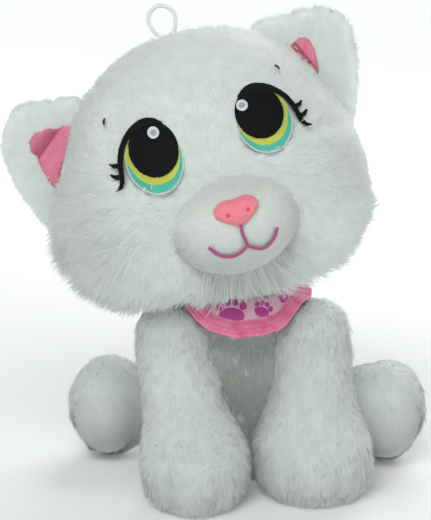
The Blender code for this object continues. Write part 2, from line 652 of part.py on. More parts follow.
def make_front_leg(side, word):
    axis = empty(f"front_leg_{word}_axis", (side * SHOULDER[0], SHOULDER[1], SHOULDER[2]))
    origin = (side * SHOULDER[0], SHOULDER[1], SHOULDER[2])
    levels = front_leg_levels(side, word)
    top = (origin[0] - side * 14, origin[1] + 14, origin[2] + 8)
    mouth = cutter(f"leg_mouth_{word}", rod(8, origin, (top[0] - side * 12, top[1] + 12, top[2] + 7), 12), axis, origin)
    inner = cutter(f"leg_hollow_{word}", stack(levels, LEG_SIDES, -SKIN), axis, origin)
    cut(solid(f"front_leg_skin_{word}", stack(levels, LEG_SIDES), "plush", axis, origin), inner, mouth)
    stuffing = solid(f"front_leg_stuffing_{word}", stack(levels, 12, -SKIN - 1.0), "fibre", axis, origin)
    _, px, py, rx, ry = levels[4]
    sole = ((px, py), (rx - 9, ry - 8))
    outline = stack([(0.0, *sole[0], sole[1][0] - 1, sole[1][1] - 1), (1.2, *sole[0], *sole[1])], 20)
    solid(f"front_sole_{word}", outline, "short_pile", axis, origin)
    if word == "left":
        make_paw_switch(axis, origin, stuffing, (px, py - 6, 26))


def make_paw_switch(axis, origin, stuffing, place):
    x, y, z = place
    cut(stuffing, cutter("paw_switch_room", rod(12, (x, y - 60, z), (x, y + 3, z), 16), axis, origin))
    profile = ((0, 0), (11, 0), (11, 6), (5.6, 6), (5.6, 1.5), (0, 1.5))
    shape = turned(profile, 16)
    bmesh.ops.transform(shape, matrix=Matrix.Translation((x, y, z)) @ Matrix.Rotation(math.radians(90), 4, "X"),
                        verts=shape.verts)
    solid("paw_switch_housing", shape, "black_abs", axis, origin)
    button = rod(5.0, (x, y - 3.2, z), (x, y - 8.0, z), 16, 4.4)
    solid("paw_switch_button", button, "white_abs", axis, origin)


def make_hind_leg(side, word):
    origin = (side * HIP[0], HIP[1], HIP[2])
    axis = empty(f"hind_leg_{word}_axis", origin)
    mouth = cutter(f"hip_mouth_{word}", rod(9, origin, (side * (HIP[0] - 40), HIP[1], HIP[2]), 12), axis, origin)
    inner = cutter(f"hip_hollow_{word}", hind_leg_form(side, word, -SKIN), axis, origin)
    cut(solid(f"hind_leg_skin_{word}", hind_leg_form(side, word, 0), "plush", axis, origin), inner, mouth)
    solid(f"hind_leg_stuffing_{word}", hind_leg_form(side, word, -SKIN - 1.5, 12, 8), "fibre", axis, origin)


def make_tail():
    axis = empty("tail_axis", TAIL_BASE)
    mouth = cutter("tail_mouth", rod(5, TAIL_BASE, (-4, 45, 24), 12), axis, TAIL_BASE)
    inner = cutter("tail_hollow", tail_form(-SKIN), axis, TAIL_BASE)
    cut(solid("tail_skin", tail_form(0), "plush", axis, TAIL_BASE), inner, mouth)
    solid("tail_stuffing", tail_form(-SKIN - GAP - 0.3, 8), "fibre", axis, TAIL_BASE)


def swept_leg(side, word, grow):
    """The room that a front leg takes as it swings forward."""
    place = Vector((side * SHOULDER[0], SHOULDER[1], SHOULDER[2]))
    shapes = []
    for angle in LEG_SWING:
        shape = stack(front_leg_levels(side, word), LEG_SIDES, grow)
        turn = Matrix.Translation(place) @ Matrix.Rotation(math.radians(-angle), 4, "X") @ Matrix.Translation(-place)
        bmesh.ops.transform(shape, matrix=turn, verts=shape.verts)
        shapes.append(shape)
    return hull(*shapes)


def limbs(grow):
    """Cutters the shape of every limb where it meets the torso, grown on all sides."""
    made = []
    for side, word in SIDES:
        made.append(cutter(f"leg_room_{word}_{grow}", swept_leg(side, word, grow)))
        made.append(cutter(f"hip_room_{word}_{grow}", hind_leg_form(side, word, grow)))
    made.append(cutter(f"tail_room_{grow}", tail_form(grow)))
    return made


def make_torso():
    opening = cutter("base_opening", box((BOX_X[0] - 0.6, BOX_X[1] + 0.6), (BOX_Y[0] - 0.6, BOX_Y[1] + 0.6), (-1, 12)))
    neck = cutter("neck_opening", rod(TORSO_NECK_HOLE, (0, 0, 112), (0, 0, 130), 24))
    hollow = cut(cutter("torso_hollow", stack(torso_levels(), 20, -SKIN, 2.4)), *limbs(SOCKET_GAP + SKIN))
    skin = solid("torso_skin", stack(torso_levels(), 20, 0, 2.4), "plush")
    cut(skin, *limbs(SOCKET_GAP))
    cut(skin, hollow, opening, neck)

    stuffing = solid("torso_stuffing", stack(torso_levels(), 20, -SKIN - GAP - 0.2, 2.4), "fibre")
    cut(stuffing, *limbs(SOCKET_GAP + SKIN + GAP + 0.5))
    room = merge(box((BOX_X[0] - 1, BOX_X[1] + 1), (BOX_Y[0] - 1, BOX_Y[1] + 1), (-1, 52)))
    drive = box((-18, 18), (-12, 40), (48, 125))
    collar = rod(TORSO_NECK_HOLE + 0.6, (0, 0, 108), (0, 0, 130), 24)
    cut(stuffing, cutter("box_room", room), cutter("drive_room", drive), cutter("collar_room", collar))
    sleeve = ((19.0, 114), (20.8, 114), (20.8, 127), (19.0, 127))
    solid("neck_sleeve", turned(sleeve, 24), "short_pile")


def bandana_rim(angle):
    """The hem's radius and height round the neck: low in front, between the legs."""
    front = max(0.0, -math.sin(angle))
    return 43 + 1.5 * front ** 6, 115.8 - 15.5 * front ** 8 - 5.0 * max(0.0, math.sin(angle)) ** 2


def make_bandana():
    """A cloth ring that slopes from the neck to its hem, with a knot of two tails behind."""
    sides, rows, thick = 40, 3, 1.4
    bm = bmesh.new()
    sheets = []
    for lift in (0.0, thick):
        sheet = []
        for row in range(rows + 1):
            t = row / rows
            ring = []
            for k in range(sides):
                a = 2 * math.pi * k / sides
                radius, height = bandana_rim(a)
                r = 26.5 + (radius - 26.5) * t + lift * 0.3
                z = 118.4 + (height - 118.4) * t ** 1.3 + lift
                ring.append(bm.verts.new((r * math.cos(a), r * math.sin(a), z)))
            sheet.append(ring)
        sheets.append(sheet)
        for inner, outer in zip(sheet, sheet[1:]):
            for k in range(sides):
                n = (k + 1) % sides
                bm.faces.new((inner[k], outer[k], outer[n], inner[n]))
    for row in (0, rows):
        low, high = sheets[0][row], sheets[1][row]
        for k in range(sides):
            n = (k + 1) % sides
            bm.faces.new((low[k], high[k], high[n], low[n]))
    solid("bandana", bm, "bandana")


def main():
    clear_scene()
    make_torso()
    make_sound_box()
    make_battery_side()
    make_electronics()
    make_drive()
    make_head()
    for side, word in SIDES:
        make_front_leg(side, word)
        make_hind_leg(side, word)
    make_tail()
    make_bandana()


main()
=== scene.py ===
import json
import math

import bpy
import numpy as np
from mathutils import Euler, Matrix, Vector

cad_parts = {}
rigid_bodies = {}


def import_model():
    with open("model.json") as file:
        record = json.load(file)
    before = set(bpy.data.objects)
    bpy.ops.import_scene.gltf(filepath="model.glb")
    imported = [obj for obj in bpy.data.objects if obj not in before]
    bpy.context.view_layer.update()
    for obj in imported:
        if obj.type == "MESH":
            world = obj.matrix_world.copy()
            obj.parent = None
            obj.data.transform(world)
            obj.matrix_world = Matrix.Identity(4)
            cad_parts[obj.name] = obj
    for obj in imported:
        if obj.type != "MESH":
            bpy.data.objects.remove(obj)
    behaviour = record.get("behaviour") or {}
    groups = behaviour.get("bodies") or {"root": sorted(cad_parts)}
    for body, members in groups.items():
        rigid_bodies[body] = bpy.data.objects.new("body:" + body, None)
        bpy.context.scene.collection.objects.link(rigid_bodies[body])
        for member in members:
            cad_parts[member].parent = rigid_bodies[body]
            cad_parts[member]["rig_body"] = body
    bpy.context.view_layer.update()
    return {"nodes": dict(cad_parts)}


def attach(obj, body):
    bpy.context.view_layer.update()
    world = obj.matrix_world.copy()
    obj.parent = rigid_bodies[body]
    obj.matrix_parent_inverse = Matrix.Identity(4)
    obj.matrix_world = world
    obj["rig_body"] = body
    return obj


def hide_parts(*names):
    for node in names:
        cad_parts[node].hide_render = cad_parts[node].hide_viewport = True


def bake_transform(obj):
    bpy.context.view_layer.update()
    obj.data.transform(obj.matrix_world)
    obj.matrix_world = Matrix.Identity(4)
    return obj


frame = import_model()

# Lengths are in millimetres until a mesh is made, and angles in degrees.
MM = 0.001
SEED = 7
SIDES = ((1, "left"), (-1, "right"))  # the sign of X on each side of the kitten, and its word

# ---------------------------------------------------------------- frames


def turn(x, y, z):
    return Euler([math.radians(a) for a in (x, y, z)]).to_matrix().to_4x4()


NECK_HEIGHT = 126.0
HEAD_TILT, HEAD_PITCH, HEAD_YAW, HEAD_RISE = 16.5, 13.0, 7.0, 70.0
neck_turn = Matrix.Translation((0, 0, NECK_HEIGHT)) @ turn(0, -HEAD_TILT, 0)
# The yoke's frame at the neck, and the face's frame in the middle of the head.
YOKE = np.array(neck_turn, float)
FACE = np.array(neck_turn @ Matrix.Translation((0, 0, HEAD_RISE)) @ turn(-HEAD_PITCH, 0, HEAD_YAW), float)


def moved(points, matrix):
    return np.asarray(points, float) @ matrix[:3, :3].T + matrix[:3, 3]


def turned(vectors, matrix):
    return np.asarray(vectors, float) @ matrix[:3, :3].T


def xyz(x, y, z):
    """Points or vectors from their three coordinates."""
    return np.stack(np.broadcast_arrays(x, y, z), -1)


def unit(v):
    return v / np.maximum(np.linalg.norm(v, axis=-1, keepdims=True), 1e-9)


def smoothstep(low, high, x):
    t = np.clip((x - low) / (high - low), 0, 1)
    return t * t * (3 - 2 * t)


def lumps(points, size, seed, octaves=2):
    """Smooth noise from -1 to 1 that varies over about size."""
    rng = np.random.default_rng(seed)
    total, weight = 0.0, 0.0
    for octave in range(octaves):
        scale = size / 2 ** octave
        for _ in range(4):
            way = unit(rng.normal(size=3)) / scale * 6.283 * rng.uniform(0.6, 1.1)
            total = total + np.sin(points @ way + rng.uniform(0, 6.283)) / 2 ** octave
            weight += 0.5 ** octave
    return total / weight * 1.6


def eddies(points, size, seed):
    """A vector at each point that wanders over about size."""
    return np.stack([lumps(points, size, seed + axis) for axis in range(3)], 1)


# ---------------------------------------------------------------- meshes


def piece(name, points, faces, body, *materials, slot=None, normals=None, indices=None):
    """A mesh object from points in millimetres in the world frame, riding on a body.

    Its faces are an array of quads, or (how many corners each face has, all the corners in a row).
    """
    if isinstance(faces, tuple):
        sizes, corners = faces
    else:
        sizes, corners = np.full(len(faces), 4), faces.ravel()
    mesh = bpy.data.meshes.new(name)
    mesh.vertices.add(len(points))
    mesh.vertices.foreach_set("co", (np.asarray(points, np.float32) * MM).ravel())
    mesh.loops.add(len(corners))
    mesh.loops.foreach_set("vertex_index", corners.astype(np.int32))
    mesh.polygons.add(len(sizes))
    starts = np.concatenate([[0], np.cumsum(sizes)[:-1]])
    mesh.polygons.foreach_set("loop_start", starts.astype(np.int32))
    mesh.update(calc_edges=True)
    mesh.polygons.foreach_set("use_smooth", np.full(len(sizes), True))
    for material in materials:
        mesh.materials.append(material)
    if indices is not None:
        mesh.polygons.foreach_set("material_index", np.asarray(indices, np.int32))
    if normals is not None:
        mesh.normals_split_custom_set_from_vertices(np.asarray(normals, np.float32))
    obj = bpy.data.objects.new(name, mesh)
    bpy.context.scene.collection.objects.link(obj)
    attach(obj, body)
    return obj


def grid_faces(rows, columns, wrap=True, flip=False):
    """Quads between rows of points, in an array with one quad in each row."""
    across = columns if wrap else columns - 1
    r, c = np.meshgrid(np.arange(rows - 1), np.arange(across), indexing="ij")
    n = (c + 1) % columns
    quads = np.stack([r * columns + c, r * columns + n, (r + 1) * columns + n, (r + 1) * columns + c], -1)
    quads = quads.reshape(-1, 4)
    return quads[:, ::-1] if flip else quads


def grid_normals(points):
    """Normals of points laid out as rows of closed rings."""
    across = np.roll(points, -1, 1) - np.roll(points, 1, 1)
    n = np.cross(across, np.gradient(points, axis=0))
    weak = np.linalg.norm(n, axis=-1) < 1e-6
    n = unit(n)
    if weak.any():
        middle = points.reshape(-1, 3).mean(0)
        n[weak] = unit(points[weak] - middle)
    return n


def smooth_rows(rows, count):
    """A Catmull-Rom curve through rows of numbers."""
    rows = np.asarray(rows, float)
    padded = np.vstack([2 * rows[0] - rows[1], rows, 2 * rows[-1] - rows[-2]])
    t = np.linspace(0, len(rows) - 1, count)
    k = np.minimum(t.astype(int), len(rows) - 2)
    f = (t - k)[:, None]
    a, b, c, d = (padded[k + i] for i in range(4))
    square, cube = 2 * a - 5 * b + 4 * c - d, 3 * b - a - 3 * c + d
    return 0.5 * (2 * b + (c - a) * f + square * f ** 2 + cube * f ** 3)


class Skin:
    """Rings of points with their normals, that a piece is made of and that fur grows from."""

    def __init__(self, grid, flip=False):
        self.grid, self.flip = np.asarray(grid, float), flip
        self.normals = grid_normals(self.grid) * (-1 if flip else 1)

    def make(self, name, body, *materials, slot):
        quads = grid_faces(*self.grid.shape[:2], flip=self.flip)
        return piece(name, self.grid.reshape(-1, 3), quads, body, *materials, slot=slot)

    def pad(self, name, body, material, slot, fill, *solids):
        """The cloth of a stuffed part, in place of its solids in the frame."""
        cloth = self.make(name, body, material, slot=slot)
        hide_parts(*solids)

    def scatter(self, count, rng):
        """Points spread evenly over the skin, with their normals."""
        quads = grid_faces(*self.grid.shape[:2])
        flat, bent = self.grid.reshape(-1, 3), self.normals.reshape(-1, 3)
        corner = flat[quads]
        area = np.linalg.norm(np.cross(corner[:, 2] - corner[:, 0], corner[:, 3] - corner[:, 1]), axis=1)
        q = quads[rng.choice(len(quads), count, p=area / area.sum())]
        u, v = rng.random((2, count, 1))

        def mix(values):
            a, b, c, d = (values[q[:, i]] for i in range(4))
            return (a * (1 - u) + b * u) * (1 - v) + (d * (1 - u) + c * u) * v
        return mix(flat), unit(mix(bent))


# ---------------------------------------------------------------- fur


# Where the rows of points lie along a blade of pile, and its width there.
BLADE_STEPS = {2: (0.0, 0.55, 1.0), 3: (0.0, 0.45, 0.78, 1.0)}
BLADE_TAPER = {2: (1.0, 0.95, 0.0), 3: (1.0, 0.95, 0.62, 0.0)}
ROOT_DEPTH = 0.5
FLOOR_GAP = 0.4
# How the locks of each kind of pile are made.
LONG_LOCKS = dict(children=9, spread=1.5, width=0.48, lift=0.38, gather=0.3, curl=0.18, droop=0.08, steps=2)
SHORT_LOCKS = dict(children=6, spread=1.0, width=0.36, gather=0.15, curl=0.2, droop=0.05, steps=2)
NAP = dict(children=4, droop=0.0, steps=2, shade=0.85, matrix=FACE)


def grow(name, body, material, roots, normals, flow, length, *, seed, lift, gather, curl, droop,
         children=10, spread=1.6, width=0.55, steps=3, slot="plush", shade=0.93, matrix=None,
         toward=(0.0, 0.0, 0.0)):
    """Locks of pile: each root grows a lock of thin blades whose tips draw together.

    flow is the way that the pile is brushed along the skin, lift the share of its length that stands off
    the skin, gather how far the tips of a lock draw together, and curl how far single blades stray. toward
    turns the blades' shading that way, for pile that the light shines through. matrix places roots that
    are given in the face's frame.
    """
    rng = np.random.default_rng(seed)
    count = len(roots)
    if matrix is not None:
        roots, normals, flow = moved(roots, matrix), turned(normals, matrix), turned(flow, matrix)
    flow = unit(flow - (flow * normals).sum(1, keepdims=True) * normals)
    # Each lock leans a little its own way.
    sway = rng.normal(0, 0.30, (count, 1))
    flow = unit(flow + np.cross(normals, flow) * sway)
    side = np.cross(normals, flow)
    lock_length = length * rng.uniform(0.75, 1.2, count)
    lock_lift = np.clip(lift * rng.uniform(0.7, 1.3, count), 0.05, 0.95)
    lock_way = flow * np.sqrt(1 - lock_lift ** 2)[:, None] + normals * lock_lift[:, None]
    lock_tip = roots + lock_way * lock_length[:, None]
    lock_tip[:, 2] -= droop * lock_length

    # Its blades start round the root, and their tips are drawn toward the lock's.
    def each(values):
        return np.repeat(values, children, axis=0)
    total = count * children
    n, f, s = each(normals), each(flow), each(side)
    size = each(lock_length)[:, None] * rng.uniform(0.65, 1.1, (total, 1))
    offset = rng.normal(0, spread, (total, 2))
    start = each(roots) + f * offset[:, :1] + s * offset[:, 1:] - n * ROOT_DEPTH
    own_lift = np.clip(each(lock_lift)[:, None] + rng.normal(0, 0.10, (total, 1)), 0.03, 0.98)
    stray = rng.normal(0, curl, (total, 3))
    way = unit(f * np.sqrt(1 - own_lift ** 2) + n * own_lift + stray * 0.5)
    tip = start + way * size
    tip[:, 2] -= droop * size[:, 0]
    gathered = each(lock_tip) + (tip - each(lock_tip)) * 0.18
    tip = tip * (1 - gather) + gathered * gather
    bend = start + n * size * (0.28 + 0.4 * own_lift) + f * size * 0.12 + stray * size * 0.25

    t = np.array(BLADE_STEPS[steps])[:, None, None]
    line = (1 - t) ** 2 * start + 2 * t * (1 - t) * bend + t ** 2 * tip
    along = 2 * (1 - t) * (bend - start) + 2 * t * (tip - bend)
    # A blade lies flat to the skin, so that its lit face and its shading agree from every side.
    toward = np.asarray(toward, float)
    n = unit(n + (each(toward) if toward.ndim == 2 else toward))
    roll = rng.normal(0, 0.35, (total, 1))
    across = unit(np.cross(along, n[None]))
    facing = unit(np.cross(across, along))
    across = unit(across * np.cos(roll) + facing * np.sin(roll))
    facing = unit(np.cross(across, along))
    half = width / 2 * rng.uniform(0.7, 1.3, (1, total, 1)) * np.array(BLADE_TAPER[steps])[:, None, None]

    # Two points in each row, and one at the tip.
    columns, shading = [], []
    for k in range(steps):
        columns += [line[k] - across[k] * half[k], line[k] + across[k] * half[k]]
        shading += [unit(n * shade + facing[k] * (1 - shade) + unit(along[k]) * 0.1 * k)] * 2
    columns.append(line[steps])
    shading.append(unit(n * shade + unit(along[steps]) * 0.3))
    points = np.stack(columns, 1)
    points[..., 2] = np.maximum(points[..., 2], FLOOR_GAP)
    pattern = []
    for k in range(steps - 1):
        pattern += [2 * k, 2 * k + 1, 2 * k + 3, 2 * k + 2]
    pattern += [2 * steps - 2, 2 * steps - 1, 2 * steps]
    corners = np.arange(total)[:, None] * len(columns) + np.array(pattern)
    sizes = np.tile([4] * (steps - 1) + [3], total)
    obj = piece(name, points.reshape(-1, 3), (sizes, corners.ravel()), body, material, slot=slot,
                normals=np.stack(shading, 1).reshape(-1, 3))
    obj.visible_shadow = False


# ---------------------------------------------------------------- materials


class Look:
    """A material, and short calls for the nodes that feed its shader."""

    def __init__(self, name, roughness=0.85, **sockets):
        self.material = bpy.data.materials.new(name)
        self.material.use_nodes = True
        self.nodes, self.links = self.material.node_tree.nodes, self.material.node_tree.links
        self.shader = self.nodes["Principled BSDF"]
        self.shader.inputs["Roughness"].default_value = roughness
        for socket, value in sockets.items():
            self.shader.inputs[socket.replace("_", " ")].default_value = value
        self.place = self.nodes.new("ShaderNodeTexCoord").outputs["Object"]

    def node(self, kind, **values):
        node = self.nodes.new("ShaderNode" + kind)
        for key, value in values.items():
            socket = key.replace("_", " ")
            if hasattr(value, "is_output"):
                self.links.new(value, node.inputs[socket])
            elif socket in node.inputs:
                node.inputs[socket].default_value = value
            else:
                setattr(node, key, value)
        return node

    def noise(self, size, detail=3.0, vector=None):
        """Smooth noise that varies over size mm."""
        node = self.node("TexNoise", Vector=vector or self.place, Scale=1 / (size * MM), Detail=detail,
                         Roughness=0.6)
        return node.outputs["Fac"]

    def cells(self, size):
        return self.node("TexVoronoi", Vector=self.place, Scale=1 / (size * MM)).outputs["Distance"]

    def stretched(self, *scale):
        return self.node("Mapping", Vector=self.place, Scale=scale).outputs["Vector"]

    def fade(self, place, centre, near, far, value_near, value_far):
        """A value that changes with the distance from centre, in metres."""
        away = self.node("VectorMath", operation="DISTANCE")
        self.links.new(place, away.inputs[0])
        away.inputs[1].default_value = centre
        return self.map(away.outputs["Value"], near, far, value_near, value_far)

    def map(self, value, low, high, to_low, to_high):
        node = self.node("MapRange", Value=value, From_Min=low, From_Max=high, To_Min=to_low, To_Max=to_high)
        return node.outputs["Result"]

    def ramp(self, value, *stops):
        node = self.node("ValToRGB", Fac=value)
        elements = node.color_ramp.elements
        while len(elements) < len(stops):
            elements.new(0.5)
        for element, (at, colour) in zip(elements, stops):
            element.position = at
            element.color = (*colour, 1)
        return node.outputs["Color"]

    def mottle(self, size, detail, low, high, from_low=0.3, to_high=0.7):
        """A tint that drifts from low to high over size mm."""
        return self.ramp(self.noise(size, detail), (from_low, low), (to_high, high))

    def blend(self, factor, first, second, how="MIX"):
        node = self.node("MixRGB", Fac=factor, blend_type=how)
        for socket, value in (("Color1", first), ("Color2", second)):
            if hasattr(value, "is_output"):
                self.links.new(value, node.inputs[socket])
            else:
                node.inputs[socket].default_value = (*value, 1)
        return node.outputs["Color"]

    def times(self, value, factor, add=0.0):
        node = self.node("Math", operation="MULTIPLY_ADD")
        self.links.new(value, node.inputs[0])
        node.inputs[1].default_value, node.inputs[2].default_value = factor, add
        return node.outputs["Value"]

    def colour(self, output):
        self.links.new(output, self.shader.inputs["Base Color"])

    def rough(self, output):
        self.links.new(output, self.shader.inputs["Roughness"])

    def bump(self, height, depth):
        node = self.node("Bump", Height=height, Distance=depth * MM, Strength=1.0)
        self.links.new(node.outputs["Normal"], self.shader.inputs["Normal"])
        return self.material

    def grain(self, size, detail, depth):
        """Fine relief, depth mm deep and about size mm across."""
        return self.bump(self.noise(size, detail), depth)


def pile_look(name, low, high, size):
    """Fibres whose tint drifts over the size of a lock."""
    look = Look(name, 0.62, Sheen_Weight=0.25, Sheen_Roughness=0.5, Specular_IOR_Level=0.25)
    look.colour(look.mottle(size, 3, low, high))
    return look.material


def shaded_pile_look():
    """The body's pile, with painted shade low in front, between the legs."""
    look = Look("body_pile", 0.66, Sheen_Weight=0.2, Sheen_Roughness=0.5, Specular_IOR_Level=0.2)
    base = look.mottle(7, 3, FUR_LOW, FUR_HIGH)
    # Painted shade: the tint darkens toward a point low in front of the torso, between the legs.
    painted_shade = look.fade(look.stretched(1.2, 1.0, 0.55), (0.0, -0.052, 0.033), 0.022, 0.06, 0.82, 0.0)
    look.colour(look.blend(painted_shade, base, (0.30, 0.31, 0.29)))
    return look.material


def backing_look(name, low, high, grain=1.1):
    """The knitted ground under the pile, rough with the roots of its fibres."""
    look = Look(name, 0.9, Sheen_Weight=0.3, Specular_IOR_Level=0.15)
    look.colour(look.mottle(grain * 4, 4, low, high))
    return look.grain(grain, 4, 0.6)


FUR_LOW, FUR_HIGH = (0.60, 0.645, 0.615), (0.665, 0.71, 0.68)
FUR = pile_look("long_pile", FUR_LOW, FUR_HIGH, 7)
BODY_FUR = shaded_pile_look()
FUR_GROUND = backing_look("pile_ground", (0.56, 0.60, 0.57), (0.62, 0.66, 0.63))
SHORT = pile_look("short_pile", (0.61, 0.65, 0.62), (0.67, 0.71, 0.68), 3)
SHORT_GROUND = backing_look("short_pile_ground", (0.60, 0.64, 0.61), (0.66, 0.70, 0.67), 0.7)

# ---------------------------------------------------------------- stage


CAMERA_TARGET, CAMERA_DISTANCE, CAMERA_ELEVATION, CAMERA_ANGLE = (-17.0, 0.0, 137.0), 1200.0, 15, 15.4
LIGHT_TARGET = (0, 0, 0.14)
# Each area light's place and size in metres, and its power in watts.
LIGHTS = {"key": ((-0.2, -0.75, 1.15), 0.7, 8.8),
          "fill": ((0.6, -1.1, 0.6), 0.7, 0.8),
          "rim": ((0.4, 1.0, 0.8), 0.9, 10)}
# The floor's section, as (distance from the object, height) in metres: far off, it curves up into a low wall.
FLOOR_SECTION = ((0.0, 0.0), (1.0, 0.0), (3.0, 0.0), (4.5, 0.15), (5.4, 0.6), (5.9, 1.3), (6.1, 2.2))


def add_to_scene(name, data):
    obj = bpy.data.objects.new(name, data)
    bpy.context.scene.collection.objects.link(obj)
    return obj


def make_camera():
    data = bpy.data.cameras.new("camera")
    data.sensor_fit = "VERTICAL"
    data.angle = math.radians(CAMERA_ANGLE)
    camera = add_to_scene("camera", data)
    elevation = math.radians(CAMERA_ELEVATION)
    away = Vector((0, -math.cos(elevation), math.sin(elevation)))
    camera.location = (Vector(CAMERA_TARGET) + CAMERA_DISTANCE * away) * MM
    camera.rotation_euler = (math.radians(90) - elevation, 0, 0)
    bpy.context.scene.camera = camera


def make_lights():
    for name, (place, size, power) in LIGHTS.items():
        data = bpy.data.lights.new(name, "AREA")
        data.size, data.energy = size, power
        light = add_to_scene(name, data)
        light.location = place
        light.rotation_euler = (Vector(LIGHT_TARGET) - Vector(place)).to_track_quat("-Z", "Y").to_euler()


def make_floor():
    """A pale floor with a painted glow that grows away from the object, so that the backdrop looks bright."""
    look = Look("floor", 0.9)
    tint = look.mottle(1000 / 3, 2, (0.87, 0.88, 0.88), (0.89, 0.90, 0.90), 0.2, 0.8)
    look.colour(tint)
    # Painted glow: the floor's own colour emits light, faint near the object and strong far off.
    painted_glow = look.fade(look.place, (0, 0, 0), 0.25, 1.5, 0.05, 0.74)
    look.links.new(tint, look.shader.inputs["Emission Color"])
    look.links.new(painted_glow, look.shader.inputs["Emission Strength"])
    columns = 64
    angle = np.linspace(0, 2 * np.pi, columns, endpoint=False)
    points = np.concatenate([xyz(reach * np.cos(angle), reach * np.sin(angle), z)
                             for reach, z in FLOOR_SECTION])
    mesh = bpy.data.meshes.new("floor")
    mesh.from_pydata(points.tolist(), [], grid_faces(len(FLOOR_SECTION), columns).tolist())
    mesh.materials.append(look.material)
    add_to_scene("floor", mesh)


def make_stage():
    scene = bpy.context.scene
    scene.view_settings.view_transform = "Standard"
    world = bpy.data.worlds.new("studio")
    world.use_nodes = True
    background = world.node_tree.nodes["Background"]
    background.inputs["Color"].default_value = (0.93, 0.97, 0.97, 1)
    background.inputs["Strength"].default_value = 0.20
    scene.world = world
    make_lights()
    make_floor()


# ---------------------------------------------------------------- head

HEAD_HALF_WIDTH, HEAD_HALF_DEPTH, HEAD_TOP, HEAD_BOTTOM = 93.0, 66.0, 87.5, 65.6
HEAD_ROUNDNESS, JOWL_ROUNDNESS = 2.35, 3.2
MUZZLE_CENTRE, MUZZLE_RADII = np.array((1.6, -54.0, -35.0)), np.array((36.8, 31.0, 28.6))
NOSE_CENTRE, NOSE_RADII = np.array((2.9, -81.0, -28.0)), np.array((12.0, 8.5, 8.8))
# Each eye is drawn outward and up from the middle of its pupil.
PUPIL_CENTRE = {"left": np.array((34.2, 23.4)), "right": np.array((31.5, 21.5))}
EYE_SCALE = {"left": np.array((0.96, 0.90)), "right": np.array((0.96, 0.97))}
PUPIL_RADII, IRIS_MIDDLE, IRIS_RADII = np.array((14.8, 17.0)), np.array((1.4, -5.4)), np.array((16.8, 21.2))
FUR_DEPTH = 3.5  # from the middle of the pile, where the CAD skin lies, down to the ground


def head_fit(x, z):
    width = HEAD_HALF_WIDTH * (1 - 0.0016 * np.maximum(z + 15, 0))
    height = np.where(z > 0, HEAD_TOP, HEAD_BOTTOM)
    roundness = np.where(z > 0, HEAD_ROUNDNESS, JOWL_ROUNDNESS)
    return 1 - np.abs(x / width) ** roundness - np.abs(z / height) ** roundness


def head_radius(directions):
    low = np.zeros(directions.shape[:-1])
    high = np.full(directions.shape[:-1], 120.0)
    for _ in range(30):
        middle = (low + high) / 2
        p = directions * middle[..., None]
        inside = head_fit(p[..., 0], p[..., 2]) > np.abs(p[..., 1] / HEAD_HALF_DEPTH) ** HEAD_ROUNDNESS
        low, high = np.where(inside, middle, low), np.where(inside, high, middle)
    return low


def head_front(x, z, rise=0.0):
    """The head's surface, seen from the front."""
    return -HEAD_HALF_DEPTH * np.maximum(head_fit(x, z), 0) ** (1 / HEAD_ROUNDNESS) - rise


def ball_ways(rows, columns):
    polar = np.linspace(-np.pi / 2 + 1e-3, np.pi / 2 - 1e-3, rows)[:, None]
    around = np.linspace(0, 2 * np.pi, columns, endpoint=False)[None]
    return xyz(np.cos(polar) * np.cos(around), np.cos(polar) * np.sin(around), np.sin(polar))


def in_eye(points):
    """Which points of the face lie under an eye."""
    found = np.zeros(len(points), bool)
    for side, word in SIDES:
        place = (points[:, [0, 2]] * (side, 1) - PUPIL_CENTRE[word]) / EYE_SCALE[word]
        covered = in_oval(place, 0, PUPIL_RADII + 1) | in_oval(place, IRIS_MIDDLE, IRIS_RADII + 0.5)
        found |= covered & (points[:, 0] * side > 0)
    return found & (points[:, 1] < 0)


def in_oval(points, centre, radii):
    return (((points - centre) / radii) ** 2).sum(-1) < 1


def in_muzzle(points, grow_by):
    return in_oval(points, MUZZLE_CENTRE, MUZZLE_RADII + grow_by)


CROWN_HEIGHT, NAPE_DEPTH = 22, -8  # where the crown's pile meets the cheeks', and theirs the nape's
NECK_HOLE = 22.0


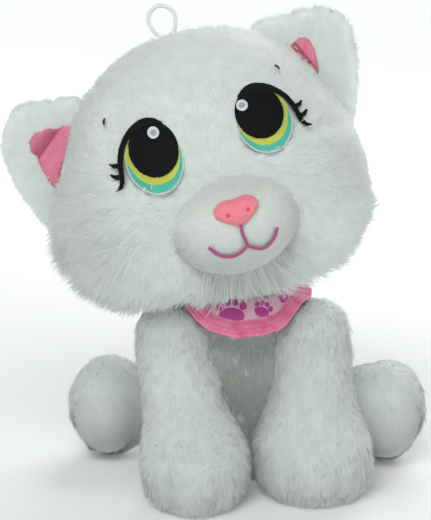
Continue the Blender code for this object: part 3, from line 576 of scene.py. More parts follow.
def make_head():
    ways = ball_ways(72, 112)
    surface = ways * (head_radius(ways) - FUR_DEPTH)[..., None]
    surface += ways * (lumps(surface, 34, 3) * 0.9)[..., None]
    placed = Skin(moved(surface, FACE))
    placed.pad("head_fabric", "head", FUR_GROUND, "plush", 0.85, "head_skin", "head_stuffing")
    rng = np.random.default_rng(SEED)
    roots, normals = Skin(surface).scatter(18500, rng)
    at_neck = moved(moved(roots, FACE), np.linalg.inv(YOKE))
    in_neck = (np.linalg.norm(at_neck[:, :2], axis=1) < NECK_HOLE) & (roots[:, 2] < -20)
    keep = ~(in_eye(roots) | in_muzzle(roots, 0.5) | in_neck)
    roots, normals = roots[keep], normals[keep]
    flow, length, lift = head_brushing(roots)
    x, y, z = roots.T
    lit = smoothstep(-18, -52, z) * smoothstep(40, 0, y)
    # Under the chin the locks lie twice as thick.
    thick = np.repeat(np.flatnonzero((z < -46) & (y < 12) & (np.abs(x - 16) < 50)), 2)
    jitter = rng.normal(0, 1.6, (len(thick), 3))
    jitter -= normals[thick] * (jitter * normals[thick]).sum(1)[:, None]
    grow("head_pile_chin", "head", FUR, roots[thick] + jitter, normals[thick], flow[thick],
         length[thick] * 0.92, children=12, spread=2.2, width=0.42, lift=lift[thick] * 0.8, gather=0.1,
         curl=0.2, droop=0.1, seed=38, matrix=FACE, toward=lit[thick, None] * turned([(0, -0.5, 0.8)], FACE))
    crown = dict(children=9, width=0.48, steps=2)
    lower = dict(children=12, width=0.4, steps=3)
    parts = [("crown", z >= CROWN_HEIGHT, crown)]
    for word, side in (("right", x < 0), ("left", x >= 0)):
        for place, part in (("cheek", y < NAPE_DEPTH), ("nape", y >= NAPE_DEPTH)):
            parts.append((f"{word}_{place}", (z < CROWN_HEIGHT) & side & part, lower))
    for number, (word, chosen, locks) in enumerate(parts):
        grow(f"head_pile_{word}", "head", FUR, roots[chosen], normals[chosen], flow[chosen], length[chosen],
             spread=1.7, lift=lift[chosen], gather=0.3, curl=0.15, droop=0.1, seed=31 + number, matrix=FACE,
             toward=lit[chosen, None] * turned([(0, -0.35, 0.6)], FACE), **locks)
    make_eye_fringes()


def head_brushing(points):
    """Which way the head's pile lies, how long it is and how far it stands off."""
    x, y, z = points.T
    flow = unit(points - np.array((0, -66.0, -4.0)))
    behind = smoothstep(-10, 45, y)[:, None]
    flow = flow * (1 - behind) + behind * np.array((0, 0.35, -1.0))
    flow += 0.22 * eddies(points, 26, 11)
    fluff = smoothstep(-38, -72, x) * smoothstep(34, -8, z) * smoothstep(52, 20, y)
    jaw = smoothstep(-24, -52, z) * smoothstep(48, 15, y)
    outward = 1.4 * np.maximum(fluff, 0.6 * jaw)[:, None] * unit(xyz(x, 0, z * 0.5))
    flow = flow + outward + jaw[:, None] * np.array((0, 0, -0.5))
    reach = np.hypot(np.abs(x) / 60, (z - 20) / 52)
    calm = smoothstep(20, -30, y) * smoothstep(1.35, 0.7, reach)
    chin = smoothstep(-50, -60, z) * smoothstep(-34, -14, x) * smoothstep(66, 48, x) * smoothstep(30, 5, y)
    low_cheek = jaw * (0.35 + 0.35 * smoothstep(-30, 0, x))
    length = 10.5 + 11.0 * np.maximum(fluff * (1 - 0.45 * jaw), low_cheek) - 3.6 * calm + 8.0 * chin
    length = length * (1 + 0.12 * lumps(points, 15, 21))
    flow = flow + chin[:, None] * np.array((0.1, -0.5, -1.2))
    lift = 0.40 - 0.08 * calm + 0.30 * fluff + 0.16 * jaw
    near_muzzle = in_muzzle(points, 7) & (z > -52)
    return flow, np.where(near_muzzle, np.minimum(length, 8.0), length), lift


def make_eye_fringes():
    """Tufts that lie over the upper and inner edges of the eyes."""
    rng = np.random.default_rng(SEED + 3)
    for side, word in SIDES:
        count = 150
        a = np.radians(rng.uniform(62, 232, count))
        ring = np.stack([np.cos(a), np.sin(a)], 1) * (PUPIL_RADII + rng.uniform(1.6, 3.4, (count, 1)))
        place = PUPIL_CENTRE[word] + ring * EYE_SCALE[word]
        x, z = side * place[:, 0], place[:, 1]
        roots = xyz(x, head_front(place[:, 0], z, -0.8), z)
        normals = unit(xyz(x * 0.012, -1.0, z * 0.012))
        inward, up = xyz(-side * ring[:, 0], 0, -ring[:, 1]), np.array((side * 0.3, 0, 1))
        flow = unit(inward) * rng.uniform(0.3, 0.9, (count, 1)) + up * rng.uniform(0.3, 1.0, (count, 1))
        grow(f"eye_fringe_{word}", "head", FUR, roots, normals, flow, 4.6, children=11, spread=1.3, width=0.4,
             lift=0.3, gather=0.4, curl=0.15, droop=0.0, steps=2, seed=35 + side, matrix=FACE)


def make_muzzle():
    ways = ball_ways(48, 72)
    shape = MUZZLE_CENTRE + ways * (MUZZLE_RADII - 1.0)
    # Two soft cheeks part below the nose.
    cleft = np.exp(-((shape[..., 0] - 2.5) / 5.0) ** 2) * smoothstep(-28, -42, shape[..., 2])
    shape[..., 1] += 1.2 * cleft * smoothstep(-60, -75, shape[..., 1])
    Skin(moved(shape, FACE)).pad("muzzle_fabric", "head", SHORT_GROUND, "short_pile", 0.8, "muzzle")
    rng = np.random.default_rng(SEED + 1)
    roots, normals = Skin(shape).scatter(9000, rng)
    outside = np.abs(roots[:, 1]) > np.abs(head_front(roots[:, 0], roots[:, 2])) - 6
    keep = outside & (roots[:, 1] < 0) & ~in_oval(roots, NOSE_CENTRE, NOSE_RADII - 0.5)
    roots, normals = roots[keep], normals[keep]
    flow = unit(roots - np.array((0, -85.0, -22.0)))
    base = np.abs(roots[:, 1] - head_front(roots[:, 0], roots[:, 2]))
    length = 2.4 + 3.2 * smoothstep(13, 1, base)
    lit = smoothstep(24, 4, base) * smoothstep(-34, -14, roots[:, 2])
    grow("muzzle_pile", "head", SHORT, roots, normals, flow, length, lift=0.42, seed=41, slot="short_pile",
         shade=0.85, matrix=FACE, toward=lit[:, None] * turned([(0, -0.6, 1.1)], FACE), **SHORT_LOCKS)


# ---------------------------------------------------------------- ears

# The ears' outlines, as (outward, up) in the face's frame, differ as the two ears of one toy do.
EAR_OUTLINE = {
    1: ((52, 66), (74, 69), (92, 67.5), (103.5, 61), (107, 49), (103.5, 26), (95, 2), (84, -12), (70, 20)),
    -1: ((52, 62), (70, 70.5), (87, 73), (98, 65), (104, 52), (103, 30), (96, 6), (84, -12), (70, 20))}
EAR_LINING = {
    1: ((70.6, 50.7), (74, 53), (78, 53.8), (81.4, 52.4), (83.2, 48), (83.6, 43), (83, 35), (80.8, 28),
        (77, 35.6), (73, 45)),
    -1: ((62, 52), (68, 54.3), (75, 55.3), (82, 55.2), (87, 53.6), (90, 50), (90.2, 45), (88, 37.8),
         (86.6, 29.5), (85, 23), (81.8, 18.6), (76.5, 28.5), (70, 37.5), (65, 45.4))}
# A point on each lining's crease, the way across it, and its depth.
CREASE = {1: ((74.3, 50.0), (-0.93, -0.37), 0.6), -1: ((69.5, 53.5), (0.606, 0.795), 2.2)}
EAR_DEPTH = 13.0
EAR_SHIFT = {1: np.array((0.0, 8.0)), -1: np.array((11.0, 0.0))}
EAR_CLOTH = 0.955  # the cloth's outline as a share of the pile's


def loop_points(outline, count):
    """A smooth closed curve through an outline."""
    ring = np.array(outline, float)
    rows = np.vstack([ring[-2:], ring, ring[:3]])
    fine = smooth_rows(rows, (len(rows) - 1) * 40 + 1)[80:80 + 40 * len(ring) + 1]
    steps = np.concatenate([[0], np.cumsum(np.linalg.norm(np.diff(fine, axis=0), axis=1))])
    at = np.linspace(0, steps[-1], count, endpoint=False)
    return np.stack([np.interp(at, steps, fine[:, k]) for k in range(2)], 1)


def ear_depth(share, front):
    """How far the ear's face stands from its middle plane, from the centre (0) to the rim (1)."""
    plump = (EAR_DEPTH / 2 - 1.5) * np.sqrt(np.maximum(1 - share ** 3, 0))
    return -plump + 6.0 * (1 - share ** 2) if front else plump + 1.5 * (1 - share ** 2)


def ear_grid(side, columns=64, rings=11):
    ring = loop_points(EAR_OUTLINE[side], columns) + EAR_SHIFT[side]
    if side > 0:
        ring = ring[::-1]
    centre = ring.mean(0)
    rows = []
    for front, shares in ((True, np.linspace(0.02, 1, rings)), (False, np.linspace(1, 0.02, rings)[1:])):
        for share in shares:
            flat = centre + (ring - centre) * EAR_CLOTH * share
            rows.append(xyz(side * flat[:, 0], ear_depth(share, front), flat[:, 1]))
    return np.array(rows)


def inside(points, outline):
    """Which 2-D points lie inside a closed outline."""
    found = np.zeros(len(points), bool)
    for (ax, az), (bx, bz) in zip(outline, np.roll(outline, -1, 0)):
        crosses = (az > points[:, 1]) != (bz > points[:, 1])
        with np.errstate(divide="ignore", invalid="ignore"):
            found ^= crosses & (points[:, 0] < (bx - ax) * (points[:, 1] - az) / (bz - az) + ax)
    return found


def rim_distance(side, centre, out):
    """How far the ear's rim lies from its centre, on the bearing of each offset."""
    rim = loop_points(EAR_OUTLINE[side], 160) + EAR_SHIFT[side] - centre
    bearing = np.arctan2(rim[:, 1], rim[:, 0])
    order = np.argsort(bearing)
    return np.interp(np.arctan2(out[..., 1], out[..., 0]), bearing[order], np.linalg.norm(rim, axis=1)[order],
                     period=2 * np.pi)


def make_ear(side, word):
    grid = ear_grid(side)
    flip = Skin(grid).normals[-1, 0, 1] < 0
    skin = Skin(grid, flip)
    Skin(moved(grid, FACE), flip).pad(f"ear_fabric_{word}", "head", FUR_GROUND, "plush", 0.4, f"ear_{word}")
    rng = np.random.default_rng(SEED + 20 + side)
    roots, normals = skin.scatter(3000, rng)
    flat = np.stack([side * roots[:, 0], roots[:, 2]], 1)
    lining = loop_points(EAR_LINING[side], 60) + EAR_SHIFT[side]
    centre = np.array(EAR_OUTLINE[side], float).mean(0) + EAR_SHIFT[side]
    hidden = inside(flat, lining.mean(0) + (lining - lining.mean(0)) * 0.97) & (roots[:, 1] < 2)
    head_depth = np.abs(roots[:, 1] / HEAD_HALF_DEPTH) ** HEAD_ROUNDNESS
    buried = head_fit(roots[:, 0], roots[:, 2]) > head_depth + 0.03
    keep = ~(hidden | buried)
    roots, normals, out = roots[keep], normals[keep], flat[keep] - centre
    flow = xyz(side * (out[:, 0] + 8.0), 0, out[:, 1])
    share = np.linalg.norm(out, axis=1) / rim_distance(side, centre, out)
    length = np.where(roots[:, 1] < 0, 6.5, 7.5) + 1.0 * smoothstep(0.7, 1.0, share)
    # Light shines through the pile at the rim.
    lit = smoothstep(0.62, 0.85, share)[:, None]
    grow(f"ear_pile_{word}", "head", FUR, roots, normals, flow, length, seed=51 + side, matrix=FACE,
         shade=0.85, toward=lit * turned([(0, -3.0, 0.6)], FACE), **(LONG_LOCKS | dict(spread=1.4)))


# ---------------------------------------------------------------- torso and limbs

TORSO = ((0, 19, 47, 43), (3, 19, 50, 46), (14, 20, 54, 49), (32, 20, 56, 50), (52, 18, 53, 47),
         (72, 14, 49, 42), (90, 9, 44, 36), (103, 5, 39, 31), (112, 2, 32, 28), (118, 0, 24.5, 24))
SHOULDER, SHOULDER_RADIUS = np.array((42.0, -12.0, 90.0)), 25.0
FRONT_LEG = ((74, 0.18, 25.5, 24.5), (58, 0.45, 26.5, 25), (47, 0.7, 29.5, 28), (35, 0.94, 34, 34),
             (20, 1.0, 35.5, 37), (8, 1.0, 33, 35), (1.6, 1.0, 27, 29))
PAW_SHIFT = {"left": (1.0, -32.0), "right": (-13.0, -47.0)}
PAW_WIDTH = {"left": 1.04, "right": 0.94}
HIP, HIP_RADIUS = np.array((55.5, 26.0, 34.0)), 17.0
FOOT_RADII = np.array((26.0, 31.0, 33.0))
FOOT_CENTRE = {"left": np.array((92.0, 13.0, 33.6)), "right": np.array((86.0, 22.0, 33.6))}
TAIL = ((0, 65.5, 22, 9.7), (5, 77, 20, 10.5), (16, 88, 17, 11), (31, 95, 15, 11), (46, 98, 14, 10.5),
        (59, 97, 14, 9), (68, 94, 14, 5))


def ovals(levels, columns, roundness=2.0):
    """Rows of points round levels of (height, centre x, centre y, half width, half depth)."""
    angle = np.linspace(0, 2 * np.pi, columns, endpoint=False)
    c, s = np.cos(angle), np.sin(angle)
    px, py = np.sign(c) * np.abs(c) ** (2 / roundness), np.sign(s) * np.abs(s) ** (2 / roundness)
    z, cx, cy, rx, ry = (np.asarray(levels, float)[:, k, None] for k in range(5))
    return xyz(cx + rx * px, cy + ry * py, z)


def uneven(grid, normals, size, seed, low, high):
    """The grid with soft lumps, which fade out from high down to low above the floor."""
    amount = 0.8 * lumps(grid, size, seed) * smoothstep(low, high, grid[..., 2])
    return grid + normals * amount[..., None]


def downward(roots, size, seed, forward=0.0):
    """A flow that runs down the body with a few eddies."""
    return np.array((0.0, forward, -1.0)) + 0.35 * eddies(roots, size, seed)


def make_torso():
    levels = [(z, 0.0, cy, rx - FUR_DEPTH + 1, ry - FUR_DEPTH + 1) for z, cy, rx, ry in TORSO]
    rows = smooth_rows(levels, 52)
    floor = rows[0].copy()
    floor[3:] = 1.0
    lid = rows[-1].copy()
    lid[3:] = 19.5
    grid = ovals(np.vstack([floor, rows, lid]), 96, 2.4)
    skin = Skin(uneven(grid, grid_normals(grid), 40, 5, 2, 12))
    skin.pad("torso_fabric", "torso", FUR_GROUND, "plush", 0.7, "torso_skin", "torso_stuffing")
    roots, normals = skin.scatter(7600, np.random.default_rng(SEED + 2))
    keep = (roots[:, 2] > 3) & ~under_bandana(roots)
    roots, normals = roots[keep], normals[keep]
    length = 7.5 + 1.2 * lumps(roots, 18, 64)
    grow("torso_pile", "torso", BODY_FUR, roots, normals, downward(roots, 22, 61), length, seed=65,
         **(LONG_LOCKS | dict(children=8, width=0.5, lift=0.4, droop=0.1)))


def front_leg_levels(side, word):
    sx, sy, sz = SHOULDER * (side, 1, 1)
    shift_x, shift_y = PAW_SHIFT[word]
    levels = []
    for z, share, rx, ry in FRONT_LEG:
        widened = rx * (1 + (PAW_WIDTH[word] - 1) * share)
        levels.append((z, sx + side * shift_x * share, sy + shift_y * share, widened, ry))
    for a in (90, 64, 40, 16):
        rise, reach = math.cos(math.radians(a)), SHOULDER_RADIUS * math.sin(math.radians(a))
        levels.append((sz + SHOULDER_RADIUS * rise, sx, sy, reach, reach))
    return sorted(levels)


def make_front_leg(side, word):
    levels = np.array(front_leg_levels(side, word))
    levels[:, 3:] = np.maximum(levels[:, 3:] - FUR_DEPTH + 0.8, 1)
    levels[-1, 3:] = 0.5
    rows = smooth_rows(levels, 64)
    rows[:, 3:] = np.maximum(rows[:, 3:], 0.3)
    sole = rows[0].copy()
    sole[3:] = 0.5
    grid = ovals(np.vstack([sole, rows]), 72)
    # Two soft clefts part the toes.
    normals = grid_normals(grid)
    px, py = levels[3, 1:3]
    around = np.arctan2(grid[..., 0] - px, -(grid[..., 1] - py))
    low = smoothstep(34, 22, grid[..., 2]) * smoothstep(2, 9, grid[..., 2])
    clefts = sum(np.exp(-((around - a) / 0.085) ** 2) for a in (-0.42, 0.42)) * low
    grid -= normals * (2.4 * clefts)[..., None]
    skin = Skin(uneven(grid, normals, 30, 6 + side, 2, 10))
    body = f"front_leg_{word}"
    skin.pad(f"{body}_fabric", body, FUR_GROUND, "plush", 0.75, f"front_leg_skin_{word}",
             f"front_leg_stuffing_{word}")
    roots, normals = skin.scatter(6000, np.random.default_rng(SEED + 4 + side))
    keep = roots[:, 2] > 3.0
    roots, normals = roots[keep], normals[keep]
    z = roots[:, 2]
    paw = smoothstep(40, 15, z)[:, None]
    flow = downward(roots, 20, 71, -0.15) + paw * unit(roots - np.array((px, py, 45.0))) * 0.8
    length = 8.0 - 2.0 * smoothstep(40, 12, z) + 1.0 * lumps(roots, 18, 74)
    grow(f"{body}_pile", body, FUR, roots, normals, flow, length, seed=75 + side, **LONG_LOCKS)


def hull_radius(centre, ways, balls):
    """Distance from centre to the hull of two balls, in each direction."""
    (a, ra), (b, rb) = balls
    low, high = np.zeros(ways.shape[:-1]), np.full(ways.shape[:-1], 140.0)
    shares = np.linspace(0, 1, 25)
    for _ in range(22):
        middle = (low + high) / 2
        p = centre + ways * middle[..., None]
        held = np.zeros(middle.shape, bool)
        for share in shares:
            held |= in_oval(p, a + (b - a) * share, ra + (rb - ra) * share)
        low, high = np.where(held, middle, low), np.where(held, high, middle)
    return low


def make_hind_leg(side, word):
    mirror = np.array((side, 1, 1))
    foot, hip = FOOT_CENTRE[word] * mirror, HIP * mirror
    ways = ball_ways(40, 64)
    sink = FUR_DEPTH - 0.8
    reach = hull_radius(foot, ways, ((hip, np.full(3, HIP_RADIUS - sink)), (foot, FOOT_RADII - sink)))
    grid = foot + ways * reach[..., None]
    grid[..., 2] = np.maximum(grid[..., 2], 1.8)
    skin = Skin(uneven(grid, grid_normals(grid), 28, 16 + side, 3, 12))
    body = f"hind_leg_{word}"
    skin.pad(f"{body}_fabric", body, FUR_GROUND, "plush", 0.75, f"hind_leg_skin_{word}",
             f"hind_leg_stuffing_{word}")
    roots, normals = skin.scatter(3600, np.random.default_rng(SEED + 8 + side))
    keep = (roots[:, 2] > 2.6) & ~on_hind_sole(roots, side, word) & (side * roots[:, 0] > 48)
    roots, normals = roots[keep], normals[keep]
    flow = unit(roots - hip) * 0.6 + np.array((0, 0, -0.6)) + 0.3 * eddies(roots, 20, 81)
    length = 7.0 + 1.0 * lumps(roots, 18, 84)
    grow(f"{body}_pile", body, FUR, roots, normals, flow, length, seed=85 + side, **LONG_LOCKS)
    make_hind_sole(side, word, skin)


def on_hind_sole(points, side, word):
    """The smooth sole that faces forward and out."""
    foot = FOOT_CENTRE[word] * (side, 1, 1)
    facing = unit(np.array((side * 0.3, -1.0, -0.45)))
    return unit((points - foot) / FOOT_RADII) @ facing > 0.5


def make_hind_sole(side, word, skin):
    """Short pile over the sole."""
    roots, normals = skin.scatter(9000, np.random.default_rng(SEED + 12 + side))
    chosen = on_hind_sole(roots, side, word) & (roots[:, 2] > 2.2)
    roots, normals = roots[chosen], normals[chosen]
    flow = np.tile((0.0, -0.1, -1.0), (len(roots), 1))
    grow(f"hind_leg_{word}_sole_pile", f"hind_leg_{word}", SHORT, roots, normals, flow, 2.2, lift=0.45,
         seed=95 + side, **SHORT_LOCKS)


def make_tail():
    count, columns = 36, 32
    rows = smooth_rows(TAIL, count)
    centre, radius = rows[:, :3], rows[:, 3] - FUR_DEPTH + 0.6
    ahead = unit(np.gradient(centre, axis=0))
    across = unit(np.cross(ahead, (0, 0, 1.0)))
    up = np.cross(across, ahead)
    angle = np.linspace(0, 2 * np.pi, columns, endpoint=False)[None, :, None]
    radius[0], radius[-1] = radius[0] * 0.6, 0.4
    way = np.cos(angle) * across[:, None] + np.sin(angle) * up[:, None]
    rings = centre[:, None] + radius[:, None, None] * way
    cap = centre[0] + (rings[:1] - centre[0]) * 0.02
    grid = np.concatenate([cap, rings])
    inward = (grid_normals(grid)[10] * (grid[10] - grid[10].mean(0))).sum() <= 0
    skin = Skin(grid, flip=inward)
    skin.pad("tail_fabric", "tail", FUR_GROUND, "plush", 0.6, "tail_skin", "tail_stuffing")
    roots, normals = skin.scatter(1100, np.random.default_rng(SEED + 14))
    nearest = np.argmin(np.linalg.norm(roots[:, None] - centre[None], axis=2), 1)
    tip = smoothstep(count - 10, count - 1, nearest)
    length = 9.0 - 2.0 * smoothstep(30, 8, roots[:, 2]) + 2.0 * nearest / (count - 1) - 4.0 * tip
    gathered = unit(centre[nearest] + ahead[nearest] * 3 - roots)
    flow = ahead[nearest] + np.array((0, 0, -0.1)) + 1.3 * tip[:, None] * gathered
    grow("tail_pile", "tail", FUR, roots, normals, flow, length, lift=0.4 - 0.2 * tip, gather=0.35, curl=0.2,
         droop=0.05, seed=97)

# ---------------------------------------------------------------- embroidery

LONGEST_STITCH = 5.0  # of a filled area
STRAND_POINTS = 5
FINE, SATIN = 0.36, 0.42  # how far apart the strands lie


def on_head(points, height):
    """The face's (x, z) places, height above the head's pile."""
    x, z = np.moveaxis(np.asarray(points, float), -1, 0)
    return xyz(x, head_front(x, z, height), z)


def on_muzzle(points, height):
    x, z = np.moveaxis(np.asarray(points, float), -1, 0)
    radii = MUZZLE_RADII + height
    level = 1 - ((x - MUZZLE_CENTRE[0]) / radii[0]) ** 2 - ((z - MUZZLE_CENTRE[2]) / radii[2]) ** 2
    return xyz(x, MUZZLE_CENTRE[1] - radii[1] * np.sqrt(np.maximum(level, 0.02)), z)


def oval(centre, radii, count=72):
    a = np.linspace(0, 2 * np.pi, count, endpoint=False)
    return np.stack([centre[0] + radii[0] * np.cos(a), centre[1] + radii[1] * np.sin(a)], 1)


def closed_oval(centre, radii, count):
    ring = oval(centre, radii, count)
    return np.vstack([ring, ring[:1]])


def disc(outline, shares):
    """The outline drawn in toward its middle, once for each share of its size."""
    centre = outline.mean(0)
    return np.array([centre + (outline - centre) * share for share in shares])


def fill_rows(outline, degrees, pitch, rng):
    """Rows of short stitches that fill a closed outline, each row starting at its own offset."""
    c, s = math.cos(math.radians(degrees)), math.sin(math.radians(degrees))
    spin = np.array(((c, s), (-s, c)))
    ring = outline @ spin.T
    after = np.roll(ring, -1, 0)
    starts, ends = [], []
    for number, level in enumerate(np.arange(ring[:, 1].min() + pitch / 2, ring[:, 1].max(), pitch)):
        crosses = (ring[:, 1] > level) != (after[:, 1] > level)
        share = (level - ring[crosses, 1]) / (after[crosses, 1] - ring[crosses, 1])
        found = np.sort(ring[crosses, 0] + share * (after[crosses, 0] - ring[crosses, 0]))
        for low, high in zip(found[::2], found[1::2]):
            low, high = low - rng.uniform(0, 0.3), high + rng.uniform(0, 0.3)
            breaks = np.arange(low - (number * 1.9) % LONGEST_STITCH, high, LONGEST_STITCH)
            breaks = np.concatenate([[low], breaks[(breaks > low + 0.8) & (breaks < high - 0.8)], [high]])
            starts += [(b, level) for b in breaks[:-1]]
            ends += [(b, level) for b in breaks[1:]]
    return np.array(starts) @ spin, np.array(ends) @ spin


def band_rows(first, second, rng, pitch=SATIN, jag=0.35):
    """Satin stitches that cross from one line to another."""
    length = np.linalg.norm(np.diff((first + second) / 2, axis=0), axis=1)
    at = np.concatenate([[0], np.cumsum(length)])
    places = np.arange(0, at[-1], pitch)

    def along(line):
        return np.stack([np.interp(places, at, line[:, k]) for k in range(2)], 1)
    a, b = along(first), along(second)
    wide = np.linalg.norm(b - a, axis=1) > 0.35
    a, b = a[wide], b[wide]
    way = unit(b - a)
    return a - way * rng.uniform(0, jag, (len(a), 1)), b + way * rng.uniform(0, jag, (len(a), 1))


def stroke(points, widths, count=60):
    """The two edges of a line that is as wide as widths along it."""
    line = smooth_rows(np.column_stack([points, widths]), count)
    ahead = unit(np.gradient(line[:, :2], axis=0))
    off = np.stack([-ahead[:, 1], ahead[:, 0]], 1) * line[:, 2:] / 2
    return line[:, :2] - off, line[:, :2] + off


class Gathered:
    """Small grids of points that make one piece together."""

    def __init__(self):
        self.points, self.quads, self.indices, self.count = [], [], [], 0

    def add(self, points, quads, index=0):
        self.points.append(points.reshape(-1, 3))
        self.quads.append(quads + self.count)
        self.indices.append(np.full(len(quads), index))
        self.count += len(self.points[-1])

    def make(self, name, body, *materials, slot="embroidery"):
        points, quads, indices = (np.concatenate(part) for part in (self.points, self.quads, self.indices))
        return piece(name, points, quads, body, *materials, slot=slot, indices=indices)


class Embroidery(Gathered):
    """Rounded strands of thread on the face. mirror is the sign of X on the side that they lie on."""

    def __init__(self, drape, mirror=1):
        super().__init__()
        self.drape, self.mirror = drape, mirror

    def strands(self, rows, index, height, width=0.5, rise=0.28):
        starts, ends = (np.asarray(r, float) * (self.mirror, 1) for r in rows)
        t = np.linspace(0, 1, STRAND_POINTS)[None, :, None]
        line = starts[:, None] * (1 - t) + ends[:, None] * t
        way = unit(ends - starts)
        side = np.stack([-way[:, 1], way[:, 0]], 1)[:, None]
        bow = np.sin(np.pi * np.clip(t[..., 0] * 0.88 + 0.06, 0, 1)) ** 0.5
        across = []
        for offset, lift in ((-0.5, -0.35), (0.0, rise), (0.5, -0.35)):
            outward = xyz(0, 0.2 - bow * (lift + 0.2), 0)
            across.append(self.drape(line + side * offset * width, height) + outward)
        first = (np.arange(len(starts)) * STRAND_POINTS * 3)[:, None, None]
        quads = grid_faces(STRAND_POINTS, 3, wrap=False, flip=self.mirror < 0)[None] + first
        self.add(moved(np.stack(across, 2), FACE), quads.reshape(-1, 4), index)

    def ground(self, outline, index, height):
        """The backing cloth under the stitches, with a skirt that goes down into the pile."""
        grid = disc(np.asarray(outline, float) * (self.mirror, 1), np.linspace(0.02, 1, 9))
        points = np.concatenate([self.drape(grid, height), self.drape(grid[-1:], height - 2.6)])
        self.add(moved(points, FACE), grid_faces(*points.shape[:2], flip=self.mirror < 0), index)


def thread_look(name, colour):
    """Polyester thread: twisted strands with a soft shine."""
    deep = max(colour) < 0.1
    look = Look(name, 0.5, Sheen_Weight=0.02 if deep else 0.25, Specular_IOR_Level=0.12 if deep else 0.4)
    dark = tuple(c * 0.72 for c in colour)
    light = tuple(min(c * 1.12 + 0.004, 1) for c in colour)
    look.colour(look.mottle(0.5, 2, dark, light, 0.35, 0.6))
    return look.grain(0.22, 2, 0.12)


THREADS = {word: thread_look(f"thread_{word}", colour) for word, colour in (
    ("black", (0.006, 0.008, 0.009)), ("lime", (0.60, 0.64, 0.09)), ("teal", (0.09, 0.56, 0.43)),
    ("white", (0.72, 0.76, 0.80)), ("silver", (0.42, 0.45, 0.47)), ("magenta", (0.56, 0.12, 0.31)),
    ("grey", (0.05, 0.05, 0.05)))}

# The eye's lines as ((outward, up) from the middle of the pupil, width there).
LID = (((-9.5, 13.4), 1.6), ((-4.5, 16.6), 3.4), ((0.5, 17.6), 4.2), ((6.6, 16.2), 4.0),
       ((12.4, 12.6), 3.6), ((17.6, 7.0), 3.3), ((21.2, -0.2), 3.2), ((22.8, -7.0), 3.0),
       ((23.8, -12.4), 2.6), ((26.2, -16.2), 2.0), ((29.6, -17.6), 0.8))
LASHES = ((((21.8, -2.8), 2.8), ((25.2, -2.6), 2.6), ((28.2, -0.2), 0.7)),
          (((22.8, -9.6), 2.8), ((26.4, -9.4), 2.6), ((29.6, -6.6), 0.7)))
HIGHLIGHT = {"left": (-9.0, 7.8), "right": (-3.0, 9.6)}


def eye_lines():
    """The iris's edge lines round the pupil, from the top over the outer side to the inner corner."""
    a = np.radians(np.linspace(52, -168, 120))
    way = np.stack([np.cos(a), np.sin(a)], 1)
    pupil = way / np.sqrt(((way / PUPIL_RADII) ** 2).sum(1, keepdims=True))
    # Each ray from the pupil's middle meets the iris's oval once.
    shift, scaled = -IRIS_MIDDLE / IRIS_RADII, way / IRIS_RADII
    qa, qb, qc = (scaled ** 2).sum(1), 2 * (scaled * shift).sum(1), (shift ** 2).sum() - 1
    reach = (-qb + np.sqrt(qb ** 2 - 4 * qa * qc)) / (2 * qa)
    edge = way * reach[:, None]
    grows = np.linalg.norm(edge, axis=1) > np.linalg.norm(pupil, axis=1)
    edge = np.where(grows[:, None], edge, pupil)
    low = smoothstep(10, -35, np.degrees(a))[:, None]
    return pupil, pupil + (edge - pupil) * (1 - 0.52 * low), edge, low


def make_eye(side, word):
    rng = np.random.default_rng(SEED + 60 + side)
    centre, scale = PUPIL_CENTRE[word], EYE_SCALE[word]

    def drape(points, height):
        return on_head(points * scale + centre * (side, 1), height)
    eye = Embroidery(drape, side)
    names = ("black", "lime", "teal", "white", "silver")
    black, lime, teal, white, silver = range(len(names))
    pupil, middle, edge, low = eye_lines()
    rim = unit(edge)
    eye.ground(oval(IRIS_MIDDLE, IRIS_RADII + 0.7), white, 0.1)
    eye.ground(oval((0, 0), PUPIL_RADII + 0.4), black, 0.7)
    eye.strands(band_rows(pupil - rim * 0.5, middle + rim * 0.2, rng), lime, 0.95)
    eye.strands(band_rows(middle, edge, rng), teal, 0.8)
    eye.strands(band_rows(edge - rim * 0.2, edge + rim * 0.8 * low, rng, jag=0.15), white, 0.6)
    eye.strands(fill_rows(oval((0, 0), PUPIL_RADII - 1.6), 12, 0.5, rng), black, 1.0)
    inner, outer = closed_oval((0, 0), PUPIL_RADII - 2.4, 120), closed_oval((0, 0), PUPIL_RADII, 120)
    eye.strands(band_rows(inner, outer, rng, 0.44, 0.5), black, 1.5)
    for line in (LID,) + LASHES:
        points, widths = zip(*line)
        eye.strands(band_rows(*stroke(points, widths), rng), black, 2.0)
    spot = np.array(HIGHLIGHT[word])
    eye.strands(fill_rows(oval(spot, (2.4, 2.4), 40), 30, 0.45, rng), silver, 2.0)
    inner, outer = closed_oval(spot, (1.9, 1.9), 40), closed_oval(spot, (3.5, 3.6), 40)
    eye.strands(band_rows(inner, outer, rng, FINE, 0.15), white, 2.2)
    obj = eye.make(f"eye_{word}", "head", *(THREADS[name] for name in names))
    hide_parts(f"eye_patch_{word}")
    # A short loose stitch above each eye, half lost in the pile.
    stitch = Embroidery(on_head, side)
    stitch.strands(band_rows(*stroke(BROW, (0.8, 1.2, 0.4), 24), rng, 0.34), 0, 2.2)
    stitch.make(f"brow_stitch_{word}", "head", THREADS["grey"])


BROW = ((52.8, 48.0), (54.0, 46.5), (54.4, 44.4))
MOUTH = (((2.4, -36.0), (1.9, -40.6), (2.4, -44.6), (2.8, -48.8)),
         ((2.8, -48.4), (-2.6, -51.2), (-8.6, -51.6), (-14.4, -48.6), (-18.8, -42.8)),
         ((2.8, -48.4), (7.6, -51.6), (12.8, -52.6), (18.6, -49.4), (22.8, -43.6)))
MOUTH_WIDTH = 1.7


def make_mouth():
    rng = np.random.default_rng(SEED + 70)
    mouth = Embroidery(on_muzzle)
    for line in MOUTH:
        mouth.strands(band_rows(*stroke(line, [MOUTH_WIDTH] * len(line)), rng, jag=0.2), 0, 0.9, rise=0.4)
    mouth.make("mouth_stitching", "head", THREADS["magenta"])


